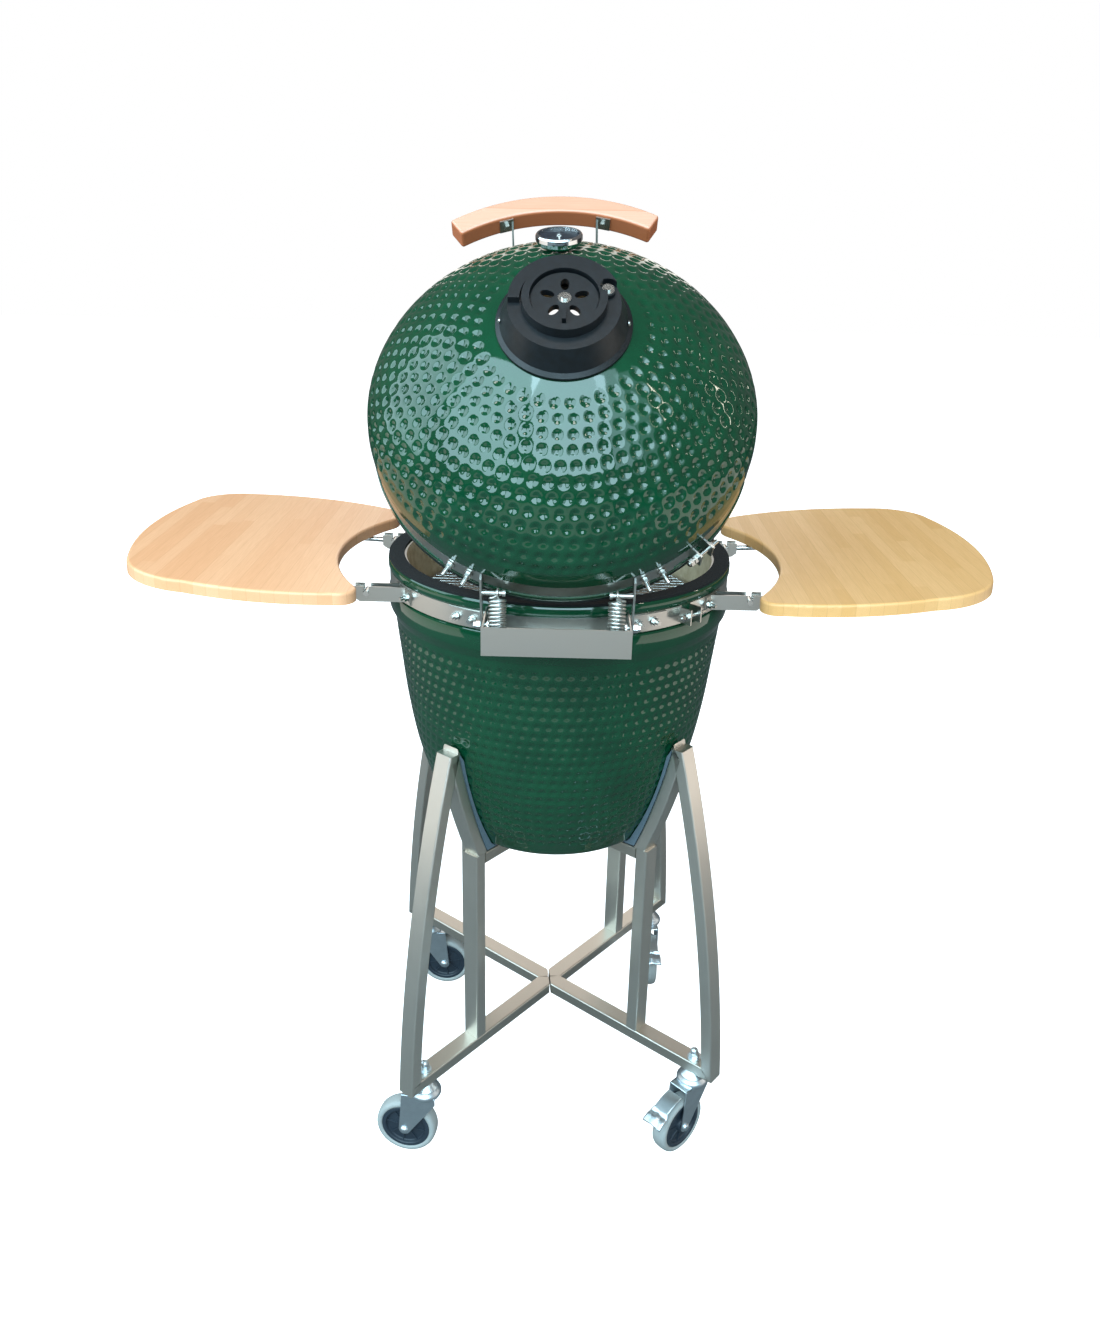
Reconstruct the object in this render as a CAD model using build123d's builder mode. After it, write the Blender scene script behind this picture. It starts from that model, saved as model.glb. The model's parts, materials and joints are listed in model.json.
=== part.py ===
from build123d import *
import os
from math import asin, cos, degrees, radians, sin, sqrt

# Kamado ceramic grill on a wheeled stand, lid open. Millimetres, +Z up, floor at Z = 0.
# The ceramic axis is the Z axis; the hinge is at +Y, the draft door and the lid's handle at -Y.

# ---- driving dimensions -------------------------------------------------------------------
rim_radius = 258.0          # outer radius of the rims of base and lid
rim_height = 958.0          # ceramic rim of the base above the floor
groove_radius = 254.5       # floor of the groove that holds a steel band
band_inner = 254.8
band_outer = 256.3
band_height = 26.0
base_band_bottom = 916.0
base_bottom = 517.0
gasket_thickness = 3.0
lid_gap = 0.5               # between the two gaskets with the lid shut
lid_gasket_thickness = 4.5
lid_opening = 44.0          # degrees that the lid stands open at rest
front_turn = 3.4            # handle and thermometer sit this far round from the hinge line
pivot_y, pivot_z = 279.0, 939.0
pin_radius = 4.0
running_clearance = 0.05

stand_turn = 6.0            # the stand's cross is turned this far under the grill
tube_width, tube_depth, tube_wall = 30.0, 20.0, 1.5
bar_bottom = 144.0
leg_foot, leg_head, leg_top = 352.0, 254.0, 706.0
leg_bow = 16.0
post_inner, post_outer = 181.0, 203.0
upper_bar_bottom = 494.0
seam = 2.4                  # gap between the two halves of each cross
caster_radius, caster_trail = 309.0, 32.0
wheel_radius, wheel_width = 50.0, 27.0
caster_headings = {"near_left": -10.0, "near_right": 45.0, "far_right": 93.0, "far_left": 176.0}
corner_angles = {"near_left": 45.0, "near_right": 135.0, "far_right": 225.0, "far_left": 315.0}
braked_corners = ("near_right", "far_right")

shelf_top, shelf_thickness, shelf_tilt = 954.5, 17.5, 2.5
shelf_pivot_x, shelf_pivot_z, shelf_rail_y = 272.0, 931.0, 132.0
rail_radius = 4.0

os.makedirs("parts", exist_ok=True)


def save(part, name):
    part.label = name
    export_step(part, f"parts/{name}.step")


def on(place, plane):
    """The plane carried along to a place."""
    return Plane(place * plane.location)


# ---- frames -------------------------------------------------------------------------------
lid_rim = rim_height + gasket_thickness + lid_gap + lid_gasket_thickness
open_cos, open_sin = cos(radians(lid_opening)), sin(radians(lid_opening))
lid_origin = (
    0,
    pivot_y - pivot_y * open_cos + (lid_rim - pivot_z) * open_sin,
    pivot_z + pivot_y * open_sin + (lid_rim - pivot_z) * open_cos,
)
lid_plane = Plane(origin=lid_origin, x_dir=(1, 0, 0), z_dir=(0, open_sin, open_cos))
lid = lid_plane.location                      # lid frame: Z up the crown, origin at its rim
lid_axis = Axis(lid_plane.origin, lid_plane.z_dir)
lid_front = lid * Rot(0, 0, front_turn)       # the same, turned to the handle
lid_section = on(lid, Plane.XZ)
pivot_h = pivot_z - lid_rim                   # hinge pin in the lid frame


def corner_plane(angle):
    """Upright plane through the ceramic axis and one corner of the stand: local X runs outwards."""
    turn = radians(angle + stand_turn)
    return Plane(origin=(0, 0, 0), x_dir=(cos(turn), sin(turn), 0), z_dir=(sin(turn), -cos(turn), 0))


def band_point(angle, radius, height):
    """Place on a band, angle in degrees from the hinge line towards +X, local X pointing outwards."""
    return Rot(0, 0, 90 - angle) * Pos(radius, 0, height)


# ---- ceramic base -------------------------------------------------------------------------
door_z, door_width, door_height = 590.0, 120.0, 58.0
door_tilt = 19.0            # the wall leans out upwards, and the door lies along it
door = Pos(0, -196, door_z) * Rot(90 + door_tilt, 0, 0)      # door frame: Z out of the wall
side_points = ((168, 527), (193.5, 578), (219, 655), (234, 732), (243.5, 810), (250, 872))

with BuildPart() as base_shell:
    with BuildSketch(Plane.XZ):
        with BuildLine():
            Line((0, base_bottom), (148, base_bottom))
            ThreePointArc((148, base_bottom), (160, 520), (168, 527))
            Spline(*side_points)
            Polyline(
                (250, 872), (rim_radius, 886), (rim_radius, 914), (groove_radius, 914),
                (groove_radius, 944),
                (rim_radius, 944), (rim_radius, 955), (rim_radius - 3, rim_height), (233, rim_height),
                (230, 955),
            )
            Spline((230, 955), (221, 840), (208, 740), (168, 590), (140, 545))
            Line((140, 545), (0, 543))
            Line((0, 543), (0, base_bottom))
        make_face()
    revolve(axis=Axis.Z)
    with BuildSketch(Plane(door)):
        Rectangle(door_width + 30, door_height + 34)
    extrude(amount=30, mode=Mode.SUBTRACT)
    with BuildSketch(on(door, Plane.XY.offset(-70))):
        RectangleRounded(door_width, door_height, 6)
    extrude(amount=90, mode=Mode.SUBTRACT)
save(base_shell.part, "base_shell")

with BuildPart() as base_gasket:
    with BuildSketch(Plane.XY.offset(rim_height)):
        Circle(rim_radius - 1)
        Circle(234, mode=Mode.SUBTRACT)
    extrude(amount=gasket_thickness)
save(base_gasket.part, "base_gasket")

# ---- fire bowl, ring and grates -----------------------------------------------------------
bowl_bottom, bowl_top, grate_z = 545.4, 740.0, 640.0

with BuildPart() as fire_bowl:
    with BuildSketch(Plane.XZ):
        with BuildLine():
            Polyline((60, bowl_bottom), (122, bowl_bottom), (152, 600), (192, 700), (196, bowl_top),
                     (178, bowl_top), (174, 706), (138, 650), (112, grate_z), (112, 632), (60, 632),
                     (60, bowl_bottom))
        make_face()
    revolve(axis=Axis.Z)
    with BuildSketch(Plane.XZ):
        with Locations((0, door_z)):
            Rectangle(100, 60)
    extrude(amount=200, mode=Mode.SUBTRACT)
save(fire_bowl.part, "fire_bowl")

ring_top = 884.0
with BuildPart() as fire_ring:
    with BuildSketch(Plane.XY.offset(bowl_top + 0.5)):
        Circle(199)
        Circle(180, mode=Mode.SUBTRACT)
    extrude(amount=ring_top - bowl_top - 0.5)
save(fire_ring.part, "fire_ring")

with BuildPart() as charcoal_grate:
    with BuildSketch(Plane.XY.offset(grate_z + 0.3)):
        Circle(110)
        with PolarLocations(52, 12):
            SlotOverall(64, 12, mode=Mode.SUBTRACT)
        with PolarLocations(98, 24):
            SlotOverall(14, 9, mode=Mode.SUBTRACT)
    extrude(amount=8)
save(charcoal_grate.part, "charcoal_grate")

grid_radius, grid_pitch, grid_rod = 219.0, 13.5, 5.0
with BuildPart() as cooking_grid:
    with BuildSketch(Plane.XY.offset(ring_top + 0.3)):
        Circle(grid_radius)
        Circle(grid_radius - 7, mode=Mode.SUBTRACT)
        for cross_y in (-88, 88):
            with Locations((cross_y, 0)):
                Rectangle(6, 2 * sqrt(grid_radius**2 - cross_y**2) - 8)
        for row in range(-15, 16):
            chord = 2 * sqrt(grid_radius**2 - (row * grid_pitch) ** 2) - 8
            with Locations((0, row * grid_pitch)):
                Rectangle(chord, grid_rod)
    extrude(amount=6)
save(cooking_grid.part, "cooking_grid")

# ---- draft door ---------------------------------------------------------------------------
rail_length = 262.0
panel_width, panel_height = 128.0, 72.0

with BuildPart() as draft_frame:
    with BuildSketch(on(door, Plane.XY.offset(0.2))):
        Rectangle(door_width + 26, door_height + 30)
        Rectangle(door_width - 6, door_height - 6, mode=Mode.SUBTRACT)
    extrude(amount=2)
    with BuildSketch(on(door, Plane.XY.offset(0.5))):
        RectangleRounded(door_width - 2, door_height - 2, 5)
        RectangleRounded(door_width - 6, door_height - 6, 3, mode=Mode.SUBTRACT)
    extrude(amount=-28)
    for side in (-1, 1):
        with BuildSketch(on(door, Plane.YZ.offset(-rail_length / 2))):
            with Locations((side * 40, 7.2)):
                Rectangle(3, 14)
            for lip in (1.2, 7.2, 13.2):
                with Locations((side * 37, lip)):
                    Rectangle(9, 2)
        extrude(amount=rail_length)
save(draft_frame.part, "draft_frame")

with BuildPart() as draft_screen:
    with BuildSketch(on(door, Plane.XY.offset(3.2))):
        Rectangle(panel_width, panel_height)
        Rectangle(panel_width - 24, panel_height - 28, mode=Mode.SUBTRACT)
        for step in range(-7, 8):
            with Locations((step * 7, 0)):
                Rectangle(1.6, panel_height - 26)
        for step in range(-3, 4):
            with Locations((0, step * 7)):
                Rectangle(panel_width - 22, 1.6)
    extrude(amount=1.6)
save(draft_screen.part, "draft_screen")

with BuildPart() as draft_door:
    with BuildSketch(on(door, Plane.XY.offset(9.4))):
        Rectangle(panel_width, panel_height)
    extrude(amount=1.6)
    with BuildSketch(on(door, Plane.XY.offset(11))):
        Circle(5)
    extrude(amount=12)
    with BuildSketch(on(door, Plane.XY.offset(20))):
        Circle(10)
    extrude(amount=9)
save(draft_door.part, "draft_door")

# ---- steel bands --------------------------------------------------------------------------
ear_angle, ear_gap = -43.5, 9.0        # tension ears, degrees from the hinge line


def band(plane_at, bottom):
    """Open hoop with two ears turned outwards beside the gap."""
    with BuildPart() as hoop:
        with BuildSketch(on(plane_at, Plane.XY.offset(bottom))):
            Circle(band_outer)
            Circle(band_inner, mode=Mode.SUBTRACT)
            with Locations(Rot(0, 0, 90 - ear_angle) * Pos(band_outer, 0)):
                Rectangle(20, ear_gap * 2, mode=Mode.SUBTRACT)
        extrude(amount=band_height)
        with BuildSketch(on(plane_at, Plane.XY.offset(bottom + 2))):
            with Locations(Rot(0, 0, 90 - ear_angle)):
                with Locations((band_outer + 9, ear_gap + 1.2), (band_outer + 9, -ear_gap - 1.2)):
                    Rectangle(20.5, 2.4)
        extrude(amount=band_height - 4)
        with BuildSketch(on(plane_at * band_point(ear_angle, band_outer + 12,
            bottom + band_height / 2), Plane.XZ.offset(-26))):
            Circle(3 + running_clearance)
        extrude(amount=52, mode=Mode.SUBTRACT)
    return hoop.part


base_band = band(Location(), base_band_bottom)
save(base_band, "base_band")
lid_band_bottom = 13.0
lid_band = band(lid, lid_band_bottom)
save(lid_band, "lid_band")


def radial_bolt(place, length):
    """Hex-headed bolt standing out of a band: shank, head and washer along local X."""
    with BuildPart() as bolt:
        with BuildSketch(on(place, Plane.YZ)):
            Circle(6.5)
        extrude(amount=1.2)
        with BuildSketch(on(place, Plane.YZ.offset(1.2))):
            RegularPolygon(5.2, 6)
        extrude(amount=5)
        with BuildSketch(on(place, Plane.YZ.offset(6.2))):
            Circle(3)
        extrude(amount=length - 6.2)
    return bolt.part


def tension_bolt(place):
    """Bolt across the two ears of a band with a nut at each end, along local Y."""
    with BuildPart() as bolt:
        with BuildSketch(on(place, Plane.XZ.offset(-26))):
            Circle(3)
        extrude(amount=52)
        for face in (ear_gap + 2.5, ear_gap + 9.5, -ear_gap - 8):
            with BuildSketch(on(place, Plane.XZ.offset(face))):
                RegularPolygon(5.5, 6)
            extrude(amount=5.5)
    return bolt.part


hinge_bolt_angles = (-30.5, -25, 26, 32)
strap_outer = band_outer + 2.8
base_bolt_z = base_band_bottom + band_height / 2
base_bolts = [radial_bolt(band_point(a, strap_outer + 0.1, base_bolt_z), 11) for a in hinge_bolt_angles]
base_bolts.append(tension_bolt(band_point(ear_angle, band_outer + 12, base_bolt_z)))
save(Compound(children=base_bolts), "base_band_bolts")

lid_bolt_h = lid_band_bottom + band_height / 2
lid_bolts = [radial_bolt(lid * band_point(a, strap_outer + 0.1, lid_bolt_h), 19) for a in hinge_bolt_angles]
lid_bolts.append(tension_bolt(lid * band_point(ear_angle, band_outer + 12, lid_bolt_h)))
save(Compound(children=lid_bolts), "lid_band_bolts")

# ---- hinge --------------------------------------------------------------------------------
box_half, box_front, box_top, box_bottom, sheet = 95.0, 331.0, 954.5, 916.5, 2.0
arm_inner, arm_outer = 96.0, 98.5
anchor_y, anchor_z, anchor_radius = 316.0, 927.0, 3.0


def band_strap(place, side, start, end, bottom, radius, height):
    """Curved strap lying on a band between two angles from the hinge line."""
    middle = (start + end) / 2
    points = [(side * radius * sin(radians(a)), radius * cos(radians(a))) for a in (start, middle, end)]
    outer = radius + 2.2
    rim = [(side * outer * sin(radians(a)), outer * cos(radians(a))) for a in (end, middle, start)]
    with BuildPart() as strap:
        with BuildSketch(on(place, Plane.XY.offset(bottom))):
            with BuildLine():
                ThreePointArc(*points)
                Line(points[2], rim[0])
                ThreePointArc(*rim)
                Line(rim[2], points[0])
            make_face()
        extrude(amount=height)
    return strap.part


box_straps = [band_strap(Location(), s, 21, 35, base_band_bottom + 1, band_outer + 0.1,
    band_height - 2) for s in (-1, 1)]
with BuildPart() as hinge_box:
    with BuildSketch(Plane.XY.offset(box_bottom)):
        with Locations((0, (262 + box_front) / 2)):
            Rectangle(2 * box_half, box_front - 262)
    extrude(amount=sheet)
    with BuildSketch(Plane.XY.offset(box_bottom)):
        with Locations((0, box_front - sheet / 2)):
            Rectangle(2 * box_half, sheet)
    extrude(amount=box_top - box_bottom)
    for side in (-1, 1):
        with BuildSketch(Plane.XY.offset(box_bottom)):
            with Locations((side * (box_half - sheet / 2), (240.9 + box_front) / 2)):
                Rectangle(sheet, box_front - 240.9)
        extrude(amount=box_top - box_bottom - 4)
    add(box_straps)
    with BuildSketch(Plane.YZ.offset(-box_half)):
        with Locations((anchor_y, anchor_z)):
            Circle(anchor_radius)
    extrude(amount=2 * box_half)
    with BuildSketch(Plane.YZ.offset(-box_half)):
        with Locations((pivot_y, pivot_z)):
            Circle(pin_radius + running_clearance)
    extrude(amount=2 * box_half, mode=Mode.SUBTRACT)
save(hinge_box.part, "hinge_box")

with BuildPart() as hinge_pins:
    for side in (-1, 1):
        with BuildSketch(Plane.YZ.offset(side * 90)):
            with Locations((pivot_y, pivot_z)):
                Circle(pin_radius)
        extrude(amount=side * 17)
        for inner, depth, size in ((88, 2.5, 6.5), (99.2, 5.5, 6.2), (104.7, 3.5, 4.6)):
            with BuildSketch(Plane.YZ.offset(side * inner)):
                with Locations((pivot_y, pivot_z)):
                    RegularPolygon(size, 6)
            extrude(amount=side * depth)
save(hinge_pins.part, "hinge_pins")

stud_y, stud_h, stud_inner = 255.8, 18.7, 66.0
arm_straps = [band_strap(lid, s, 21.9, 35, lid_band_bottom + 0.5, band_outer + 0.1,
    band_height - 1) for s in (-1, 1)]
with BuildPart() as hinge_arms:
    for side in (-1, 1):
        with BuildSketch(on(lid, Plane.YZ.offset(side * arm_inner))):
            with BuildLine():
                Polyline((238, 14), (pivot_y - 11, pivot_h - 3), (pivot_y - 4, pivot_h - 11),
                    (pivot_y + 9, pivot_h - 8),
                         (pivot_y + 11, pivot_h + 4), (262, 20), (248, 38.5), (240, 38.5), (238, 14))
            make_face()
            with Locations((pivot_y, pivot_h)):
                Circle(pin_radius + running_clearance, mode=Mode.SUBTRACT)
        extrude(amount=side * (arm_outer - arm_inner))
        with BuildSketch(on(lid, Plane.YZ.offset(side * stud_inner))):
            with Locations((stud_y, stud_h)):
                Circle(3.2)
        extrude(amount=side * (arm_inner - stud_inner + 1))
        with BuildSketch(on(lid, Plane.YZ.offset(side * stud_inner))):
            with Locations((stud_y, stud_h)):
                Circle(4.6)
        extrude(amount=side * 4)
    add(arm_straps)
save(hinge_arms.part, "hinge_arms")

spring_x, spring_radius, spring_wire, spring_turns = 76.0, 10.0, 1.5, 9
stud_world = (lid * Pos(0, stud_y, stud_h)).position
spring_foot = Vector(0, anchor_y, anchor_z)
spring_axis = (Vector(0, stud_world.Y, stud_world.Z) - spring_foot).normalized()
springs = []
for side in (-1, 1):
    foot = spring_foot + Vector(side * spring_x, 0, 0) + spring_axis * 6
    coil_plane = Plane(origin=foot, x_dir=(1, 0, 0), z_dir=spring_axis)
    coil_length = (stud_world - spring_foot).length - 17
    coil = Helix(coil_length / spring_turns, coil_length, spring_radius)
    start = coil_plane.location * coil
    with BuildPart() as spring:
        with BuildLine():
            add(start)
        with BuildSketch(Plane(origin=start @ 0, z_dir=start % 0)):
            Circle(spring_wire)
        sweep()
    springs.append(spring.part)
save(Compound(children=springs), "lid_springs")

# ---- ceramic lid --------------------------------------------------------------------------
chimney_radius, vent_seat = 54.0, 221.0
gauge_tilt = 62.0
gauge_out, gauge_up = cos(radians(gauge_tilt)), sin(radians(gauge_tilt))
gauge_plane = on(lid_front, Plane(origin=(0, -150 - 2 * gauge_out, 191 + 2 * gauge_up), x_dir=(1, 0, 0),
                                  z_dir=(0, -gauge_out, gauge_up)))
gauge = gauge_plane.location
gauge_axis = Axis(gauge_plane.origin, gauge_plane.z_dir)

with BuildPart() as lid_shell:
    with BuildSketch(lid_section):
        with BuildLine():
            Polyline(
                (235, 3), (238, 0), (rim_radius - 3, 0), (rim_radius, 3), (rim_radius, 12),
                (groove_radius, 12),
                (groove_radius, 40), (rim_radius, 40), (rim_radius, 58),
            )
            Spline((rim_radius, 58), (250.5, 89), (231, 121), (206, 148.7), (168, 179.3),
                (137, 197.7), (105, 212.3),
                   (80, vent_seat), tangents=((0, 1), (-1, 0.33)))
            Polyline((80, vent_seat), (chimney_radius, vent_seat), (chimney_radius, 202))
            Spline((chimney_radius, 202), (110, 186), (170, 152), (215, 102), (235, 50),
                tangents=((1, -0.1), (0.05, -1)))
            Line((235, 50), (235, 3))
        make_face()
    revolve(axis=lid_axis)
    with BuildSketch(on(gauge, Plane.XY.offset(-60))):
        Circle(3.2)
    extrude(amount=80, mode=Mode.SUBTRACT)
save(lid_shell.part, "lid_shell")

with BuildPart() as lid_gasket:
    with BuildSketch(on(lid, Plane.XY.offset(-lid_gasket_thickness))):
        Circle(rim_radius - 1)
        Circle(238, mode=Mode.SUBTRACT)
    extrude(amount=lid_gasket_thickness)
save(lid_gasket.part, "lid_gasket")

# ---- vent cap -----------------------------------------------------------------------------
vent_top, vent_crest = 258.0, 267.0
with BuildPart() as vent_housing:
    with BuildSketch(lid_section):
        with BuildLine():
            Polyline((55, vent_seat + 0.4), (82, vent_seat + 0.4), (82, vent_seat + 4),
                (77, vent_seat + 8), (66.5, vent_top),
                     (43, vent_top), (43, vent_top - 5), (60, vent_top - 5), (68, vent_seat + 8),
                     (55, vent_seat + 5),
                     (55, vent_seat + 0.4))
        make_face()
    revolve(axis=lid_axis)
    with BuildSketch(on(lid, Plane.XY.offset(vent_top - 0.5))):
        Circle(66)
        Circle(52.5, mode=Mode.SUBTRACT)
        with Locations((0, 70)):
            Rectangle(160, 140, mode=Mode.SUBTRACT)
        with Locations((-60, -10)):
            Rectangle(48, 26, mode=Mode.SUBTRACT)
        with Locations((-50, -17)):
            Circle(14, mode=Mode.SUBTRACT)
    extrude(amount=vent_crest - vent_top + 0.5)
save(vent_housing.part, "vent_housing")

disc_low, disc_high, ring_high = 258.4, 263.4, 272.0
vent_pivot = (-50, -17)
petal_angles = [54 + 72 * step for step in range(5)]


def petals(reach):
    """Five drop-shaped holes round the middle of the disc."""
    for angle in petal_angles:
        with Locations(Rot(0, 0, angle)):
            with Locations((21, 0)):
                Ellipse(reach, 5.2, mode=Mode.SUBTRACT)


with BuildPart() as vent_disc:
    with BuildSketch(on(lid, Plane.XY.offset(disc_low))):
        Circle(50)
        with Locations(vent_pivot):
            Circle(9)
        petals(9)
        Circle(2.5, mode=Mode.SUBTRACT)
        with Locations(vent_pivot):
            Circle(2.5 + running_clearance, mode=Mode.SUBTRACT)
    extrude(amount=disc_high - disc_low)
    with BuildSketch(on(lid, Plane.XY.offset(disc_high))):
        Circle(50)
        Circle(41, mode=Mode.SUBTRACT)
        with Locations(vent_pivot):
            Circle(9, mode=Mode.SUBTRACT)
    extrude(amount=ring_high - disc_high)
save(vent_disc.part, "vent_disc")

with BuildPart() as daisy_wheel:
    with BuildSketch(on(lid, Plane.XY.offset(disc_high + 0.4))):
        Circle(39)
        petals(8.5)
        Circle(2.5 + running_clearance, mode=Mode.SUBTRACT)
    extrude(amount=3)
    with BuildSketch(on(lid, Plane.XY.offset(disc_high + 3.4))):
        with Locations((0, 26)):
            Rectangle(4.5, 22)
    extrude(amount=9)
save(daisy_wheel.part, "daisy_wheel")


def vent_screw(place, low, seat):
    """Pan-head screw with a wide washer, low to seat is its shank."""
    with BuildPart() as screw:
        for bottom, height, radius in ((low, seat - low, 2.5), (seat, 1.4, 8), (seat + 1.4, 3.2, 4.5)):
            with BuildSketch(on(lid, Plane.XY.offset(bottom))):
                with Locations(place):
                    Circle(radius)
            extrude(amount=height)
    return screw.part


save(vent_screw((0, 0), disc_low, disc_high + 3.6), "daisy_screw")
save(vent_screw(vent_pivot, vent_top + 0.05, disc_high + 0.2), "vent_pivot_screw")

# ---- thermometer --------------------------------------------------------------------------
with BuildPart() as thermometer_case:
    with BuildSketch(on(gauge, Plane.XZ)):
        with BuildLine():
            Polyline((0, 2), (24, 2), (27.5, 5), (30, 10), (30, 15), (28.5, 17), (26, 17), (26, 12),
                (0, 12), (0, 2))
        make_face()
    revolve(axis=gauge_axis)
    with BuildSketch(on(gauge, Plane.XY.offset(-70))):
        Circle(3)
    extrude(amount=73)
save(thermometer_case.part, "thermometer_case")

with BuildPart() as thermometer_dial:
    with BuildSketch(on(gauge, Plane.XY.offset(12))):
        Circle(25.7)
    extrude(amount=0.8)
    with BuildSketch(on(gauge, Plane.XY.offset(12.8))):
        Circle(1)
    extrude(amount=1.9)
save(thermometer_dial.part, "thermometer_dial")

with BuildPart() as thermometer_needle:
    with BuildSketch(on(gauge, Plane.XY.offset(13.3))):
        with BuildLine():
            Polyline((-1.6, -7), (1.6, -7), (0.5, 21), (-0.5, 21), (-1.6, -7))
        make_face()
        Circle(3)
        Circle(1 + running_clearance, mode=Mode.SUBTRACT)
    extrude(amount=0.7)
save(thermometer_needle.part, "thermometer_needle")

with BuildPart() as thermometer_lens:
    with BuildSketch(on(gauge, Plane.XY.offset(15))):
        Circle(25.8)
    extrude(amount=1.2)
save(thermometer_lens.part, "thermometer_lens")

# ---- handle -------------------------------------------------------------------------------
handle_centre_y, handle_inner, handle_outer = -55.0, 245.0, 275.0
handle_bottom, handle_top = 80.0, 108.0
handle_half_angle = degrees(asin(146 / handle_outer))
bracket_x = 58.0

with BuildPart() as lid_handle:
    with BuildSketch(on(lid_front, Plane.XY.offset(handle_bottom))):
        with Locations((0, handle_centre_y)):
            Circle(handle_outer)
            Circle(handle_inner, mode=Mode.SUBTRACT)
        with BuildLine(mode=Mode.PRIVATE) as wedge:
            reach = 420
            Polyline((0, handle_centre_y), (-reach * sin(radians(handle_half_angle)),
                handle_centre_y - reach * cos(radians(handle_half_angle))),
                     (reach * sin(radians(handle_half_angle)),
                     handle_centre_y - reach * cos(radians(handle_half_angle))), (0, handle_centre_y))
        add(make_face(wedge.edges(), mode=Mode.PRIVATE), mode=Mode.INTERSECT)
    extrude(amount=handle_top - handle_bottom)
    fillet(lid_handle.edges(), 4)
save(lid_handle.part, "lid_handle")

flange_turn = degrees(asin((bracket_x + 10) / handle_inner))
flange_places = [lid_front * Pos(0, handle_centre_y, 94) * Rot(0, 0, s * flange_turn) for s in (-1, 1)]
strap_end = handle_centre_y - sqrt(handle_inner**2 - bracket_x**2) + 0.8
with BuildPart() as handle_brackets:
    for side in (-1, 1):
        with BuildSketch(on(lid_front, Plane.YZ.offset(side * bracket_x))):
            with BuildLine():
                Polyline((-250.5, 15), (-250.5, 37), (strap_end, 104), (strap_end, 84), (-262, 40),
                    (-258, 15), (-250.5, 15))
            make_face()
        extrude(amount=side * 2.5)
        with BuildSketch(on(lid_front, Plane.XZ.offset(250.0))):
            with Locations((side * (bracket_x + 10), 26)):
                Rectangle(20, 22)
        extrude(amount=2.2)
    for place in flange_places:
        with BuildSketch(on(place, Plane.XZ.offset(handle_inner - 2.7))):
            Rectangle(20, 20)
        extrude(amount=2.3)
save(handle_brackets.part, "handle_brackets")


def handle_bolt(place):
    """Small hex-headed bolt inside a flange, head towards the lid."""
    with BuildPart() as bolt:
        with BuildSketch(on(place, Plane.XZ.offset(handle_inner - 7.3))):
            RegularPolygon(5, 6)
        extrude(amount=4.5)
    return bolt.part


save(Compound(children=[handle_bolt(place) for place in flange_places]), "handle_bolts")

# ---- shelves ------------------------------------------------------------------------------


def shelf_place(side):
    """The shelf's own level frame, raised by its tilt about the fold axis."""
    axis = Pos(side * shelf_pivot_x, 0, shelf_pivot_z)
    return axis * Rot(0, -side * shelf_tilt, 0) * axis.inverse()


def shelf(side):
    """Board with large round corners and a bay cut out beside the grill."""

    def at(x, y):
        return (side * x, y)

    with BuildPart() as board:
        with BuildSketch(on(shelf_place(side), Plane.XY.offset(shelf_top - shelf_thickness))):
            with BuildLine():
                ThreePointArc(at(618, 120), at(645, -34), at(626, -212))
                ThreePointArc(at(626, -212), at(600, -262), at(540, -286))
                ThreePointArc(at(540, -286), at(425, -285), at(306, -249))
                ThreePointArc(at(306, -249), at(276, -216), at(281, -176))
                ThreePointArc(at(281, -176), at(332, 1), at(281, 178))
                ThreePointArc(at(281, 178), at(280, 203), at(306, 217))
                ThreePointArc(at(306, 217), at(410, 224), at(512, 205))
                ThreePointArc(at(512, 205), at(585, 172), at(618, 120))
            make_face()
        extrude(amount=shelf_thickness)
        fillet(board.faces().sort_by(Axis.Z)[-1].outer_wire().edges(), 4)
    return board.part


def shelf_rails(side):
    """Two rods under the board, each with a cross pin that hangs in a bracket and two saddles."""
    rods = []
    place = shelf_place(side)
    for rail_y in (-shelf_rail_y, shelf_rail_y):
        with BuildPart() as rail:
            with BuildSketch(on(place, Plane.YZ.offset(side * shelf_pivot_x))):
                with Locations((rail_y, shelf_pivot_z)):
                    Circle(rail_radius)
            extrude(amount=side * 300)
            with BuildSketch(Plane.XZ.offset(-rail_y - 11)):
                with Locations((side * shelf_pivot_x, shelf_pivot_z)):
                    Circle(rail_radius)
            extrude(amount=22)
            for saddle_x in (shelf_pivot_x + 55, shelf_pivot_x + 270):
                with BuildSketch(on(place, Plane.XY.offset(shelf_pivot_z))):
                    with Locations((side * saddle_x, rail_y)):
                        Rectangle(26, 16)
                extrude(amount=shelf_top - shelf_thickness - shelf_pivot_z)
        rods.append(rail.part)
    return Compound(children=rods)


for side, name in ((1, "left"), (-1, "right")):
    save(shelf(side), f"shelf_{name}")
    save(shelf_rails(side), f"shelf_rails_{name}")


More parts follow.
